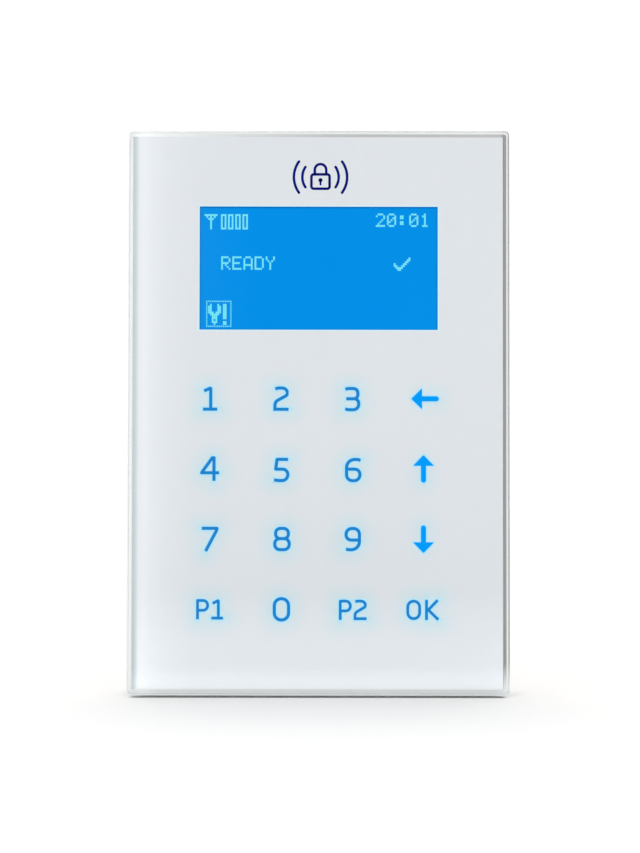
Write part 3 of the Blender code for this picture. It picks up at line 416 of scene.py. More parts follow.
def arrow(way, grow):
    """An arrow that points along way: a shaft with a round end, and a triangular head whose corners
    are eased. grow widens both."""
    ahead_of, across = np.array(way, float), np.array([-way[1], way[0]], float)
    line = np.linspace(-3.25 + ARROW_STROKE / 2, 0.9, 5)[:, None] * ahead_of
    shaft = ribbon(line, ARROW_STROKE + 2 * grow, round_ends=True)
    tip = np.array([(3.3, 0), (0.72, 2.5), (0.72, -2.5)])
    ease, head = 0.22, []
    middle = tip.mean(0)
    for here, before, after in zip(tip, np.roll(tip, 1, 0), np.roll(tip, -1, 0)):
        head += [here + unit(before - here) * ease, here + unit(middle - here) * ease * 0.62,
                 here + unit(after - here) * ease]
    head = np.array(head)
    head += (head - middle) / np.linalg.norm(head - middle, axis=1, keepdims=True) * grow * 1.5
    head = head[:, :1] * ahead_of + head[:, 1:] * across
    return *gather([shaft, (head, [list(range(len(head)))])]), line


def legend(label, grow):
    """Points, faces and centrelines of one legend, about its own centre, in millimetres."""
    if label in ARROWS:
        points, faces, line = arrow(ARROWS[label], grow)
        shift = ARROW_SHIFT.get(label, (0, 0))
        return points + shift, faces, [line + shift]
    strokes = DIGITS[label] if label in DIGITS else WORDS[label]
    width = DIGIT_STROKE if label in DIGITS else WORD_STROKE
    parts, lines = [], []
    for stroke in strokes:
        line = bent_line(stroke)
        around = np.allclose(line[0], line[-1])
        if grow and not around:
            line[0] += unit(line[0] - line[1]) * grow
            line[-1] += unit(line[-1] - line[-2]) * grow
        parts.append(ribbon(line, width + 2 * grow, closed=around))
        lines.append(line)
    return *gather(parts), lines


def all_legends(wanted, grow):
    """Points, faces and centrelines of every wanted legend of the keypad, in millimetres."""
    parts, lines = [], []
    for row, labels in zip(ROWS, KEYS):
        for column, label in zip(COLUMNS, labels):
            if label in wanted:
                points, faces, own_lines = legend(label, grow)
                at = np.array([column, row]) + NUDGE.get(label, (0, 0))
                parts.append((points + at, faces))
                lines += [line + at for line in own_lines]
    return *gather(parts), lines


def flat_piece(name, flat, faces, y, back=False):
    """A flat piece at y, from (x, z) points in millimetres. Each face is turned to the front, or to the
    back, by the sign of its area."""
    turned = []
    for face in faces:
        x, z = flat[face].T
        to_front = np.sum(x * np.roll(z, -1) - np.roll(x, -1) * z) > 0
        turned.append(face if to_front != back else face[::-1])
    return make_mesh(name, np.c_[flat[:, 0] * MM, np.full(len(flat), y), flat[:, 1] * MM], turned)


def light_finish(name, colour, tint, scale=60):
    """A lit surface: its colour drifts a little between two tones, and it gives its own light."""
    finish, n = new_finish(name)
    n.put({"Base Color": (0, 0, 0, 1), "Specular IOR Level": 0, "Roughness": 1,
           "Emission Color": n.mix(n.noise(scale, 2), colour, tint), "Emission Strength": 1})
    return finish


def settle(piece, finish):
    """Gives a piece its finish and its body, the keypad unit."""
    piece.data.materials.append(finish)
    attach(piece, "keypad_unit")


for name, grow, y, wanted, finish in (
        ("key_legends", 0, LEGEND_Y, {**DIGITS, **WORDS},
         light_finish("legend_light", (0.01, 0.228, 0.62), (0.014, 0.248, 0.67))),
        ("key_arrows", 0, LEGEND_Y, ARROWS,
         light_finish("arrow_light", (0.000, 0.33, 0.98), (0.000, 0.35, 1))),
        ("legend_edges", EDGE_WIDTH, EDGE_Y, {**DIGITS, **WORDS, **ARROWS},
         light_finish("legend_edge_light", (0.5, 0.83, 1), (0.46, 0.81, 1)))):
    points, faces, legend_lines = all_legends(wanted, grow)
    settle(flat_piece(name, points, faces, y), finish)

# ---------------- White print
# White ink is screen printed on the back of the clear sheet up to 1.3 mm from its edge. It leaves the
# display's window open. Round each legend the key lights' glow is painted into it.
RIM = 1.3 * MM
PRINT_Y = back - 0.03 * MM
WINDOW_HALF = np.array([28.15, 14.6]) * MM
WINDOW_Z = 34.1 * MM
PRINT_SHIFT = -0.12 * MM
GRID_STEP = 0.55 * MM


def grid_lines(stops):
    """Coordinates that pass through every stop, with even steps no longer than GRID_STEP between."""
    parts = [np.linspace(a, b, max(2, int(round((b - a) / GRID_STEP)) + 1))[:-1]
             for a, b in zip(stops[:-1], stops[1:])]
    return np.append(np.concatenate(parts), stops[-1])


def distance_to_lines(points, lines):
    """The shortest distance in millimetres from each point to any segment of the lines."""
    best = np.full(len(points), 99.0)
    for line in lines:
        near = np.abs(points - line.mean(0)).max(1) < 12
        spot = points[near][:, None, :]
        start, end = line[:-1][None], line[1:][None]
        run = end - start
        share = np.clip(((spot - start) * run).sum(2) / np.maximum((run * run).sum(2), 1e-12), 0, 1)
        gap = np.linalg.norm(spot - start - run * share[..., None], axis=2).min(1)
        best[near] = np.minimum(best[near], gap)
    return best


def grid_mesh(xs, zs, y):
    """Points and quads of a flat grid through these xs and zs at y, facing the front."""
    gx, gz = np.meshgrid(xs, zs)
    i, j = np.meshgrid(np.arange(len(xs) - 1), np.arange(len(zs) - 1))
    cell = (j * len(xs) + i).ravel()
    return (np.c_[gx.ravel(), np.full(gx.size, y), gz.ravel()],
            np.c_[cell, cell + 1, cell + len(xs) + 1, cell + len(xs)])


edge = PANEL_HALF - RIM
xs = grid_lines([2 * PRINT_SHIFT - edge[0], -WINDOW_HALF[0], WINDOW_HALF[0], PRINT_SHIFT + edge[0]])
zs = grid_lines([-edge[1], WINDOW_Z - WINDOW_HALF[1], WINDOW_Z + WINDOW_HALF[1], edge[1]])
points, faces = grid_mesh(xs, zs, PRINT_Y)
middle = points[faces].mean(1)
faces = faces[(np.abs(middle[:, 0]) > WINDOW_HALF[0]) | (np.abs(middle[:, 2] - WINDOW_Z) > WINDOW_HALF[1])]
panel_print = make_mesh("panel_print", points, faces, smooth=True)
gap = distance_to_lines(points[:, [0, 2]] / MM, legend_lines)
glow = 0.55 * np.clip(1.25 - gap / 3.7, 0, 1) + 0.45 * np.exp(-((gap / 0.95) ** 2))
painted_key_glow = panel_print.data.attributes.new("painted_key_glow", "FLOAT", "POINT")
painted_key_glow.data.foreach_set("value", glow.astype(np.float32))

print_finish, n = new_finish("white_print")
x, _, z = n.parts()
ink = n.mix(n.noise(22, 3), (0.788, 0.802, 0.845), (0.802, 0.816, 0.859))
ink = n.times(ink, n.ranged(n.noise(900, 2), to=(0.985, 1.015)))
# Painted light: round each legend the ink is tinted blue and given a faint emission, a painted glow of the
# key lights. Towards the sheet's foot the ink is painted brighter and given its own light, as painted bounce
# light from the table.
spill = n.add("Attribute", {}, "Fac", attribute_name="painted_key_glow")
ink = n.mix(spill, ink, (0.62, 0.8, 0.86))
ink = n.times(ink, n.ranged(z, (-42 * MM, -65 * MM), (1, 1.2)))
# Painted shade: a soft band along the print's left edge, up to 1.75 mm in, is painted darker and greyer.
from_left = n.math("ADD", x, edge[0] - 2 * PRINT_SHIFT)
painted_left_shade = n.ranged(from_left, (0.35 * MM, 1.75 * MM), (1, 0), smooth=True)
# The emission is the painted glow round the legends, plus painted light at the sheet's foot.
blue = n.mix(spill, (0, 0, 0), (0, 0.006, 0.012))
painted_foot_light = n.ranged(z, (-59 * MM, -65.2 * MM), (0, 0.13), smooth=True)
n.put({"Base Color": n.mix(painted_left_shade, ink, (0.615, 0.665, 0.69)), "Roughness": 0.55, "Specular IOR Level": 0,
       "Emission Color": n.mix(1, blue, painted_foot_light, "ADD"), "Emission Strength": 1})
settle(panel_print, print_finish)

# ---------------- Display window and picture
# A 128 by 64 dot blue liquid crystal display stands behind the sheet. Its picture lies in the glass:
# a field lit from behind, and the dots that are switched clear. The window has a pale printed edge.
DOTS_ACROSS, DOTS_UP = 128, 64
PITCH_X, PITCH_Z = 2 * WINDOW_HALF / (DOTS_ACROSS, DOTS_UP)
PICTURE_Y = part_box("display_glass")[0].y - 0.02 * MM
FIELD_HALF = np.array([28.7, 15.15]) * MM
EDGE_SHADE, WINDOW_EDGE = 0.35 * MM, 0.27 * MM
# Half the lit share of a dot's pitch, in the picture and in the frame round the two signs.
DOT_FILL, FRAME_FILL = 0.48, 0.33
LETTERS = {
    "2": " ### /#   #/    #/   # /  #  / #   /#####",
    "0": " ### /#   #/#  ##/# # #/##  #/#   #/ ### ",
    ":": "     / ##  / ##  /     / ##  / ##  /     ",
    "1": "  #  / ##  /  #  /  #  /  #  /  #  / ### ",
    "R": "#### /#   #/#   #/#### /# #  /#  # /#   #",
    "E": "#####/#    /#    /#### /#    /#    /#####",
    "A": " ### /#   #/#   #/#   #/#####/#   #/#   #",
    "D": "#### /#   #/#   #/#   #/#   #/#   #/#### ",
    "Y": "#   #/#   #/ # # /  #  /  #  /  #  /  #  ",
}
SIGNS = [
    (3, 4, "#######/ # # # /  ###  /   #   /   #   /   #   /   #   /   #   "),
    *[(c, 4, "###/# #/# #/# #/# #/# #/# #/###") for c in (11.8, 15.6, 19.5, 23.4)],
    (104.5, 26.4, "        #/       ##/      ## /#    ##  /##  ##   / ####    /  ##     "),
    (5, 51, " #   # /##   ##/##   ##/##   ##/### ###/ ##### /  ###  /  ###  /  # #  /  ###  /   #   "),
    (13, 51, "##/##/##/##/##/##/##/##/  /##/##"),
]
FRAME = (3.8, 49.2, "##############/" + "#            #/" * 12 + "##############")


def dots_of(col, row, picture):
    """Column and row of every dot that a small picture switches on, counted from the top left."""
    rows = picture.split("/")
    return [(col + c, row + r) for r, line in enumerate(rows) for c, mark in enumerate(line) if mark == "#"]


def word_dots(col, row, word):
    """The dots of a word in five by seven letters, six columns apart."""
    return [d for k, mark in enumerate(word) for d in dots_of(col + 6 * k, row, LETTERS[mark])]


xs, zs = (np.linspace(-half, half, count + 1) for half, count in zip(FIELD_HALF, (64, 32)))
picture = make_mesh("display_picture", *grid_mesh(xs, zs + WINDOW_Z, PICTURE_Y))
field, n = new_finish("display_field")
x, _, z = n.parts()
lattice = n.ranged(n.math("MAXIMUM", n.lanes(0, PITCH_X), n.lanes(2, PITCH_Z)), (0.75, 1), (0, 0.1))
blue = n.mix(n.noise(35, 1), (0, 0.288, 0.85), (0, 0.306, 0.885))
blue = n.mix(lattice, blue, (0, 0.16, 0.6))
# The field falls off to a darker line where it meets the window's edge.
from_middle = n.math("SUBTRACT", z, WINDOW_Z)
rim_shade = n.math("MAXIMUM", *[n.ranged(n.math("ABSOLUTE", part), (half - EDGE_SHADE, half))
                                for part, half in ((x, WINDOW_HALF[0]), (from_middle, WINDOW_HALF[1]))])
n.put({"Base Color": (0, 0.01, 0.03, 1), "Specular IOR Level": 0,
       "Emission Color": n.mix(rim_shade, blue, (0, 0.17, 0.56)), "Emission Strength": 1})
settle(picture, field)

lit = np.array(sorted({d for sign in SIGNS for d in dots_of(*sign)}
                      | set(word_dots(94.8, 3.5, "20:01")) | set(word_dots(12, 26, "READY"))), float)
framed = np.array(sorted(dots_of(*FRAME)), float)
fill = np.r_[np.full(len(lit), DOT_FILL), np.full(len(framed), FRAME_FILL)]
lit = np.concatenate([lit, framed])
lit[:, 0] -= np.where(lit[:, 0] < 60, 0.6, 0.0)
lit[:, 1] -= np.where(lit[:, 1] > 45, 0.7, 0.45)
at = lit[:, None, :] + 0.5 + fill[:, None, None] * SQUARE[None] * [1, -1]
dot_points = np.stack([at[..., 0] * PITCH_X - WINDOW_HALF[0], np.full(at.shape[:2], PICTURE_Y - 0.015 * MM),
                       WINDOW_Z + WINDOW_HALF[1] - at[..., 1] * PITCH_Z], axis=2).reshape(-1, 3)
settle(make_mesh("display_dots", dot_points, np.arange(len(dot_points)).reshape(-1, 4)),
       light_finish("clear_dots", (0.18, 0.84, 1.0), (0.22, 0.9, 1.0), scale=500))

rings = [ring(WINDOW_HALF, 0.02 * MM, PRINT_Y - 0.02 * MM, 2),
         ring(WINDOW_HALF + WINDOW_EDGE, 0.05 * MM, PRINT_Y - 0.02 * MM, 2)]
for r in rings:
    r[:, 2] += WINDOW_Z
settle(make_mesh("window_edge", *skin_rings(rings, False)),
       light_finish("window_edge_ink", (0.66, 0.92, 1.0), (0.74, 0.95, 1.0)))

# ---------------- Bond line
# A thin bead of clear adhesive holds the sheet on the housing's rim, just outside the print. It is pale, and
# along the right and the top its colour is painted dark grey as painted shade.
inner, outer = PANEL_HALF - RIM - 0.02 * MM, PANEL_HALF - (0.62 * MM, 0.36 * MM)
rings = [ring(half, radius * MM, back + lift * MM, 4) for half, radius, lift in (
    (outer, 0.6, 0.05), (outer, 0.6, -0.02), (inner, 0.05, -0.02), (inner, 0.05, 0.05))]
for r in rings[:2]:
    r[:, 2] -= 0.24 * MM
bond_line = make_mesh("bond_line", *skin_rings(rings + rings[:1], False))
bead, n = new_finish("adhesive_bead_painted_shade")
x, _, z = n.parts()
# Painted shade: the bead's colour turns dark grey along the right side and the top.
painted_shade_right = n.math("MULTIPLY", n.ranged(x, (43 * MM, 43.4 * MM)), n.ranged(z, (-64.5 * MM, -59 * MM)))
painted_shade_top = n.math("MULTIPLY", n.ranged(z, (64.6 * MM, 64.9 * MM)),
                  n.ranged(x, (-40 * MM, 5 * MM), (0, 0.66)))
tone = n.mix(n.math("MAXIMUM", painted_shade_right, painted_shade_top), (0.96, 0.96, 0.97), (0.37, 0.36, 0.37))
n.put({"Base Color": n.times(tone, n.ranged(n.noise(120, 4), to=(0.94, 1.03))),
       "Roughness": 0.4, "Specular IOR Level": 0.1})
settle(bond_line, bead)

# ---------------- Padlock sign
# A dark blue sign is printed over the display: a closed padlock between two pairs of signal arcs.
SIGN_AT = np.array([0.4, 55.9])
SIGN_STROKE = 0.62


def arc_line(radius, start, end, centre=(0, 0), steps=15):
    """Points along a circle's arc from one angle to another, in degrees."""
    turn = np.radians(np.linspace(start, end, steps))
    return np.asarray(centre, float) + radius * np.c_[np.cos(turn), np.sin(turn)]


body = bent_line([(0, -2.95, 0), (2.15, -2.95, 0.55), (2.15, 0.45, 0.55), (-2.15, 0.45, 0.55),
                  (-2.15, -2.95, 0.55), (0, -2.95, 0)])
shackle = np.concatenate([[(-1.35, 0.45)], arc_line(1.35, 180, 0, (0, 1.55)), [(1.35, 0.45)]])
strokes = [ribbon(body, SIGN_STROKE, closed=True), ribbon(shackle, SIGN_STROKE),
           ribbon(np.array([(0, -1.0), (0, -1.95)]), 0.45, round_ends=True)]
keyhole = arc_line(0.5, 0, 336, (0, -0.92))
strokes.append((keyhole, [list(range(15))]))
for radius, spread in ((4.3, 34), (6.3, 36)):
    for side_at in (0, 180):
        strokes.append(ribbon(arc_line(radius, side_at - spread, side_at + spread, (0, -0.2)), SIGN_STROKE,
                              round_ends=True))


def two_tone(name, colour, tint, scale, rough, more=None):
    """A finish that drifts between two tones, and in roughness where rough is a pair."""
    finish, n = new_finish(name)
    cloud = n.noise(scale, 3)
    n.put({"Base Color": n.mix(cloud, colour, tint),
           "Roughness": n.ranged(cloud, to=rough) if isinstance(rough, tuple) else rough, **(more or {})})
    return finish


points, faces = gather(strokes)
settle(flat_piece("lock_sign", points + SIGN_AT, faces, PRINT_Y - 0.015 * MM),
       two_tone("dark_blue_ink", (0.003, 0.006, 0.15), (0.007, 0.012, 0.21), 700, 0.6,
                {"Specular IOR Level": 0.0}))

# ---------------- Housing, shroud, bracket and catch
# The shell behind the sheet, the light shroud, the wall bracket and its snap tongue are moulded in
# white ABS with a fine eroded texture, which yellows a little and polishes where hands touch it.


def moulded_plastic(name, colour, tint, rough, grain=1500, depth=0.4, mottle=28):
    """A moulded plastic: two tones that drift over the piece, flow streaks from the gate, a fine
    eroded grain as bump, and a gloss that changes where the piece has been handled."""
    finish, n = new_finish(name)
    tone = n.mix(n.ranged(n.noise(mottle, 4, 0.55), (0.35, 0.68)), colour, tint)
    stretched = n.add("Mapping", {"Vector": n.place, "Scale": (1.0, 1.0, 0.12)})
    streaks = n.ranged(n.noise(160, 3, at=stretched), (0.3, 0.7), (0.965, 1.02))
    handled = n.ranged(n.noise(70, 5, 0.65), (0.3, 0.75), (rough + 0.12, rough - 0.12))
    n.put({"Base Color": n.times(tone, streaks), "Roughness": handled})
    pits = n.add("TexVoronoi", {"Vector": n.place, "Scale": grain}, feature="SMOOTH_F1")
    n.bump(n.math("ADD", pits, n.noise(grain * 1.7, 3)), depth, 0.00006)
    return finish


def four(name):
    return [f"{name}_{k}" for k in range(1, 5)]


def dress(finish, *names):
    """Gives the CAD nodes of these names this finish in place of their plain one."""
    for name in names:
        slots = nodes[name].data.materials
        slots.clear()
        slots.append(finish)


shell_plastic = moulded_plastic("white_shell_plastic", (0.66, 0.66, 0.65), (0.63, 0.63, 0.605), 0.48)
dress(shell_plastic, "front_housing")
dress(moulded_plastic("white_bracket_plastic", (0.67, 0.67, 0.66), (0.635, 0.635, 0.615), 0.52, 1300, 0.5),
      "wall_bracket", "snap_tongue")
dress(moulded_plastic("white_shroud_plastic", (0.83, 0.83, 0.82), (0.8, 0.8, 0.785), 0.6, 2200, 0.25),
      "light_shroud")

# ---------------- Touch foil, tail and display parts
# The foil is printed polyester: a silver ring round each key's electrode. Its tail and the display's
# ribbon are amber polyimide with copper lanes. The display stands in a tinned frame over a diffuser.


def lane_film(name, film, lane, pitch):
    """A translucent film, cloudy in tone and gloss, over even raised copper lanes."""
    finish, n = new_finish(name)
    lanes = n.ranged(n.lanes(0, pitch), (0.1, 0.5))
    cloud = n.noise(220, 4)
    n.put({"Base Color": n.mix(lanes, n.mix(cloud, film, [c * 0.82 for c in film]), lane),
           "Roughness": n.ranged(cloud, to=(0.18, 0.42)), "Coat Weight": 0.4})
    n.bump(lanes, 0.5, 0.00003)
    return finish


dress(lane_film("amber_tail_film", (0.48, 0.2, 0.035), (0.62, 0.34, 0.1), 0.8 * MM), "foil_tail")
dress(lane_film("amber_ribbon_film", (0.46, 0.19, 0.03), (0.6, 0.33, 0.1), 0.5 * MM), "display_ribbon")

# The silver ring round each electrode: (axis, first centre, pitch of the centres), then its radii.
KEY_GRID = [(0, -25.2 * MM, 16.8 * MM), (2, -46.15 * MM, 16.55 * MM)]
RING_RADIUS, RING_HALF_WIDTH, RING_SOFT = 6.4 * MM, 0.8 * MM, 0.1 * MM
foil, n = new_finish("silver_printed_foil")
parts = n.parts()
squares = []
for axis, start, pitch in KEY_GRID:
    moved = n.math("ADD", parts[axis], pitch / 2 - start)
    centred = n.math("SUBTRACT", n.math("FLOORED_MODULO", moved, pitch), pitch / 2)
    squares.append(n.math("POWER", centred, 2.0))
away = n.math("SQRT", n.math("ADD", *squares))
off_ring = n.math("ABSOLUTE", n.math("SUBTRACT", away, RING_RADIUS))
silver = n.ranged(off_ring, (RING_HALF_WIDTH + RING_SOFT, RING_HALF_WIDTH))
cloud = n.noise(400, 4)
n.put({"Base Color": n.mix(silver, n.mix(cloud, (0.74, 0.76, 0.76), (0.68, 0.7, 0.71)), (0.36, 0.37, 0.38)),
       "Roughness": n.ranged(cloud, to=(0.25, 0.45))})
n.bump(silver, 0.4, 0.00002)
dress(foil, "touch_foil")
dress(two_tone("display_glass_stack", (0.02, 0.05, 0.1), (0.03, 0.07, 0.13), 60, (0.03, 0.1),
               {"Coat Weight": 0.6}), "display_glass")
dress(moulded_plastic("backlight_diffuser", (0.78, 0.82, 0.84), (0.72, 0.77, 0.8), 0.3, 2600, 0.15),
      "display_backlight")
dress(moulded_plastic("ivory_socket_plastic", (0.74, 0.68, 0.54), (0.7, 0.63, 0.49), 0.45, 2400, 0.25,
                      mottle=140), "display_connector", "foil_connector")

# ---------------- Metal parts
# The display's frame is pressed tinplate. Screws, clamps and the spring are zinc or nickel plated
# steel, turned, pressed or coiled, and the capacitors and the crystal have drawn metal cans.


def plated_metal(name, colour, dull, rough, turn=(0.15, 1, 1), scale=500, depth=0.25):
    """A plated metal: bright and dull patches, and fine tool lines drawn out along one axis as colour,
    gloss and bump."""
    finish, n = new_finish(name)
    lined = n.add("Mapping", {"Vector": n.place, "Scale": turn})
    lines, patch = n.noise(scale, 4, 0.7, at=lined), n.noise(90, 4)
    tone = n.mix(n.ranged(patch, (0.38, 0.65)), colour, dull)
    n.put({"Base Color": n.times(tone, n.ranged(lines, (0.3, 0.7), (0.86, 1.06))), "Metallic": 1,
           "Roughness": n.ranged(n.math("ADD", lines, patch), (0.7, 1.3), (rough, rough + 0.22))})
    n.bump(lines, depth, 0.00003)
    return finish


dress(plated_metal("tinned_frame_steel", (0.72, 0.72, 0.7), (0.6, 0.6, 0.585), 0.28), "display_frame")
dress(plated_metal("zinc_screw_steel", (0.76, 0.77, 0.78), (0.62, 0.62, 0.6), 0.24, (1, 0.2, 1), 900),
      *four("board_screw"), *four("terminal_screw"))
dress(plated_metal("nickel_clamp_steel", (0.7, 0.67, 0.6), (0.56, 0.53, 0.47), 0.3, (1, 1, 0.2), 700),
      *four("terminal_clamp"), "tamper_spring")
dress(plated_metal("can_aluminium", (0.8, 0.8, 0.8), (0.7, 0.71, 0.72), 0.22, (1, 0.15, 1), 800),
      "capacitor_1", "capacitor_2", "crystal")

# ---------------- Key lights
# Under each legend sits a small surface mounted light with a clear lens.
dress(two_tone("key_light_lens", (0.74, 0.8, 0.84), (0.6, 0.72, 0.8), 900, (0.12, 0.3),
               {"Coat Weight": 0.5}), *[f"key_led_{k:02d}" for k in range(1, 17)])

# ---------------- Board, its tracks and pads
# The board is glass cloth laminate under a green mask. Copper tracks stand proud under the mask, and
# the pads and the rings of the plated holes are left open and tinned.
BOARD_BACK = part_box("main_board")[1].y
TRACK_Y, PAD_Y = BOARD_BACK + 0.02 * MM, BOARD_BACK + 0.035 * MM
TRACK_WIDTH, TRACK_BEND = 0.34, 0.6
PIN_DROP, VIA_DROP = (0.85 * MM, 0.4 * MM), (0.33 * MM, 0.05 * MM)


def laminate(name, mask, shade):
    """Solder mask over glass cloth: a faint weave of two crossed lanes, cloudy green, a wet gloss."""
    finish, n = new_finish(name)
    weave = n.math("MULTIPLY", *[n.ranged(n.lanes(axis, 0.55 * MM), (-1, 1)) for axis in (0, 2)])
    cloud = n.noise(55, 5)
    n.put({"Base Color": n.mix(weave, n.mix(cloud, mask, shade), [c * 1.25 for c in mask]),
           "Roughness": n.ranged(cloud, to=(0.22, 0.45))})
    n.bump(weave, 0.25, 0.00002)
    return finish


dress(laminate("green_board_mask", (0.012, 0.105, 0.045), (0.008, 0.078, 0.034)), "main_board")
# Each track is a list of (x, z) corners in millimetres, and lanes copy it side by side.
TRACKS = [
    ([(-4.4, 6), (-4.4, 2.5), (-11, -4), (-12, -4)], 1, 0),
    ([(-2.75, 6.2), (-2.75, 1.2)], 8, 0.78),
    ([(5.8, 9), (9, 9), (13.4, 4.6), (13.4, -2.2), (13.9, -2.2)], 3, 0.75),
    ([(5.8, 13.5), (9.6, 13.5)], 2, 1.6),
    ([(-7.5, -18), (-7.5, -12), (-14, -8.4), (-16, -7.8)], 1, 0),
    ([(-2.5, -17.6), (-2.5, -11), (-24, -11), (-28, -7), (-28, -0.6)], 1, 0),
    ([(2.5, -17.6), (2.5, -10.2), (10.5, -10.2), (16, -7)], 2, 1.1),
    ([(7.5, -17.6), (7.5, -13), (17.5, -9.5), (18.4, -7.2)], 1, 0),
    ([(-5.8, 11), (-12, 11), (-20, 18.5), (-24, 18.5)], 4, 0.7),
    ([(-5.8, 8), (-18, 8), (-27, -1), (-27, -17.4)], 2, 0.7),
    ([(4.4, 17.6), (4.4, 24), (12, 31), (12, 57)], 6, 0.75),
    ([(-4.4, 17.6), (-4.4, 26), (-13, 34), (-13, 56.5)], 5, 0.75),
    ([(19.9, -4), (24, -4), (28, -9), (28, -20.4)], 2, 0.8),
    ([(5.8, 15.8), (20, 15.8), (22, 14.6)], 1, 0),
    ([(-20, -3), (-24.5, -3), (-34, -12), (-34, -40), (-24, -52), (-6, -57)], 4, 0.8),
    ([(32, 14), (36, 10), (36, -38), (27, -50), (6, -57)], 4, 0.8),
    ([(-31.5, 3), (-37, 9), (-37, 40), (-30, 48), (-16, 57.5)], 3, 0.9),
    ([(29.5, 17), (37, 24), (37, 44), (30, 51), (16, 57.5)], 3, 0.9),
]
runs = []
for corners, lanes, pitch in TRACKS:
    for lane in range(lanes):
        line = shifted(np.array(corners, float), -lane * pitch)
        line = bent_line(np.c_[line, np.full(len(line), TRACK_BEND)], 4)
        runs.append(ribbon(line, TRACK_WIDTH, round_ends=True))
settle(flat_piece("board_tracks", *gather(runs), TRACK_Y, back=True),
       laminate("masked_copper", (0.024, 0.185, 0.075), (0.018, 0.15, 0.062)))


def dome_field(centres, radius, height, y, steps=12, rows=3):
    """A low round drop of solder at each centre: a quarter ellipse from the rim up to the top, turned
    about the centre, on the board's back at y."""
    centres = np.asarray(centres, float) * MM
    turn = np.linspace(0, 2 * np.pi, steps, endpoint=False)
    lift = np.linspace(0, np.pi / 2, rows + 1)[:-1]
    out_to, up_to = (radius * np.cos(lift))[:, None], (height * np.sin(lift))[:, None]
    drop = np.stack([out_to * np.cos(turn), np.repeat(y + up_to, steps, 1), out_to * np.sin(turn)], 2)
    drop = np.r_[drop.reshape(-1, 3), [[0, y + height, 0]]]
    k = np.arange(steps)
    after = (k + 1) % steps
    quads = np.concatenate([np.c_[k, k + steps, after + steps, after] + r * steps for r in range(rows - 1)])
    fan = np.c_[(rows - 1) * steps + k, np.full(steps, rows * steps), (rows - 1) * steps + after]
    shift = np.c_[centres[:, 0], np.zeros(len(centres)), centres[:, 1]]
    points = (drop[None] + shift[:, None]).reshape(-1, 3)
    return points, [face for part in (quads, fan) for copy in range(len(centres))
                    for face in (part + copy * len(drop)).tolist()]


# Pins in rows: the xs and the zs of each lattice, then the single ones.
pins = [(x, z) for xs, zs in (
    ([-38.5, -33, 33, 38.5], [-30, -8, 22, 50]),
    (np.arange(-11.4, 11.5, 3.8), [-58.2, -56]),
    ([-12, 12], [28, 38, 46])) for x in xs for z in zs]
pins += [(-8, -11.8), (9, -8.2), (-21, 8.8), (20, 9), (-14, 20.5), (15, 22.5), (22, -12)]
# Small plated holes are strewn where no part stands nearer than PART_REACH.
PART_REACH = 9.5
vias = np.random.default_rng(7).uniform((-38, -54), (38, 54), (90, 2))
parts_at = np.array([(0, 12), (17, -4), (-16, -4), (-28, 3), (12, 14), (-25, 18), (26, 16), (-28, -24),
                     (28, -24), (0, -3), (0, -22)])
vias = vias[np.linalg.norm(vias[:, None] - parts_at[None], axis=2).min(1) > PART_REACH]
points, faces = gather([dome_field(pins, *PIN_DROP, PAD_Y), dome_field(vias, *VIA_DROP, PAD_Y)], 3)
settle(make_mesh("solder_joints", points, faces, smooth=True),
       plated_metal("bright_solder", (0.74, 0.74, 0.74), (0.6, 0.6, 0.62), 0.16, (1, 1, 1), 600, 0.15))

# ---------------- Chips, coil and capacitors
# Black epoxy packages stand on gull wing legs of tinned copper. The coil is ferrite, the capacitors
# are aluminium cans with a printed mark, and each is soldered to pads on the board's back.
FOIL = 0.12


def gull_legs(spots, turn_to, width=0.34, reach=1.1, root=0.55):
    """Bent legs, one for each (x, z) spot on a package's side, leading out along turn_to: a flat
    strip runs out, drops in an S to the board, and ends in a flat foot. All in millimetres."""
    profile = np.array([(-0.15, root), (0.22, root), (0.34, root - 0.1), (0.46, 0.16), (0.6, 0.03),
                        (reach, 0.03)])
    upper = profile + (0, FOIL)
    upper[2:4, 0] += FOIL * 0.6
    loop = np.r_[profile, upper[::-1]]
    count = len(loop)
    ahead_of = np.array(turn_to, float)
    across = np.array([-ahead_of[1], ahead_of[0]])
    spots = np.asarray(spots, float)
    points = []
    for s in (-width / 2, width / 2):
        flat = loop[:, :1] * ahead_of + s * across
        points.append(np.c_[flat[:, 0], loop[:, 1] + BOARD_BACK / MM, flat[:, 1]])
    leg = np.concatenate(points)
    k = np.arange(count)
    quads = np.c_[k, (k + 1) % count, (k + 1) % count + count, k + count].tolist()
    j = np.arange(len(profile) - 1)
    caps = np.c_[j, count - 1 - j, count - 2 - j, j + 1]
    faces = quads + caps.tolist() + (caps[:, ::-1] + count).tolist()
    shift = np.c_[spots[:, 0], np.zeros(len(spots)), spots[:, 1]]
    every = (leg[None] + shift[:, None]).reshape(-1, 3) * MM
    return every, [[i + len(leg) * n for i in f] for n in range(len(spots)) for f in faces]


def legs_piece(name, rows):
    """All the legs of a package in one piece, from (spots, direction, options) rows, faces outwards."""
    points, faces = gather([gull_legs(spots, way, **options) for spots, way, options in rows], 3)
    piece = make_mesh(name, points, faces)
    shape = bmesh.new()
    shape.from_mesh(piece.data)
    bmesh.ops.recalc_face_normals(shape, faces=shape.faces)
    shape.to_mesh(piece.data)
    shape.free()
    settle(piece, leg_metal)


def box_mm(name):
    """The lowest and highest corner of a CAD node and its middle, in millimetres."""
    lo, hi = (np.array(corner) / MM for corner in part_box(name))
    return lo, hi, (lo + hi) / 2


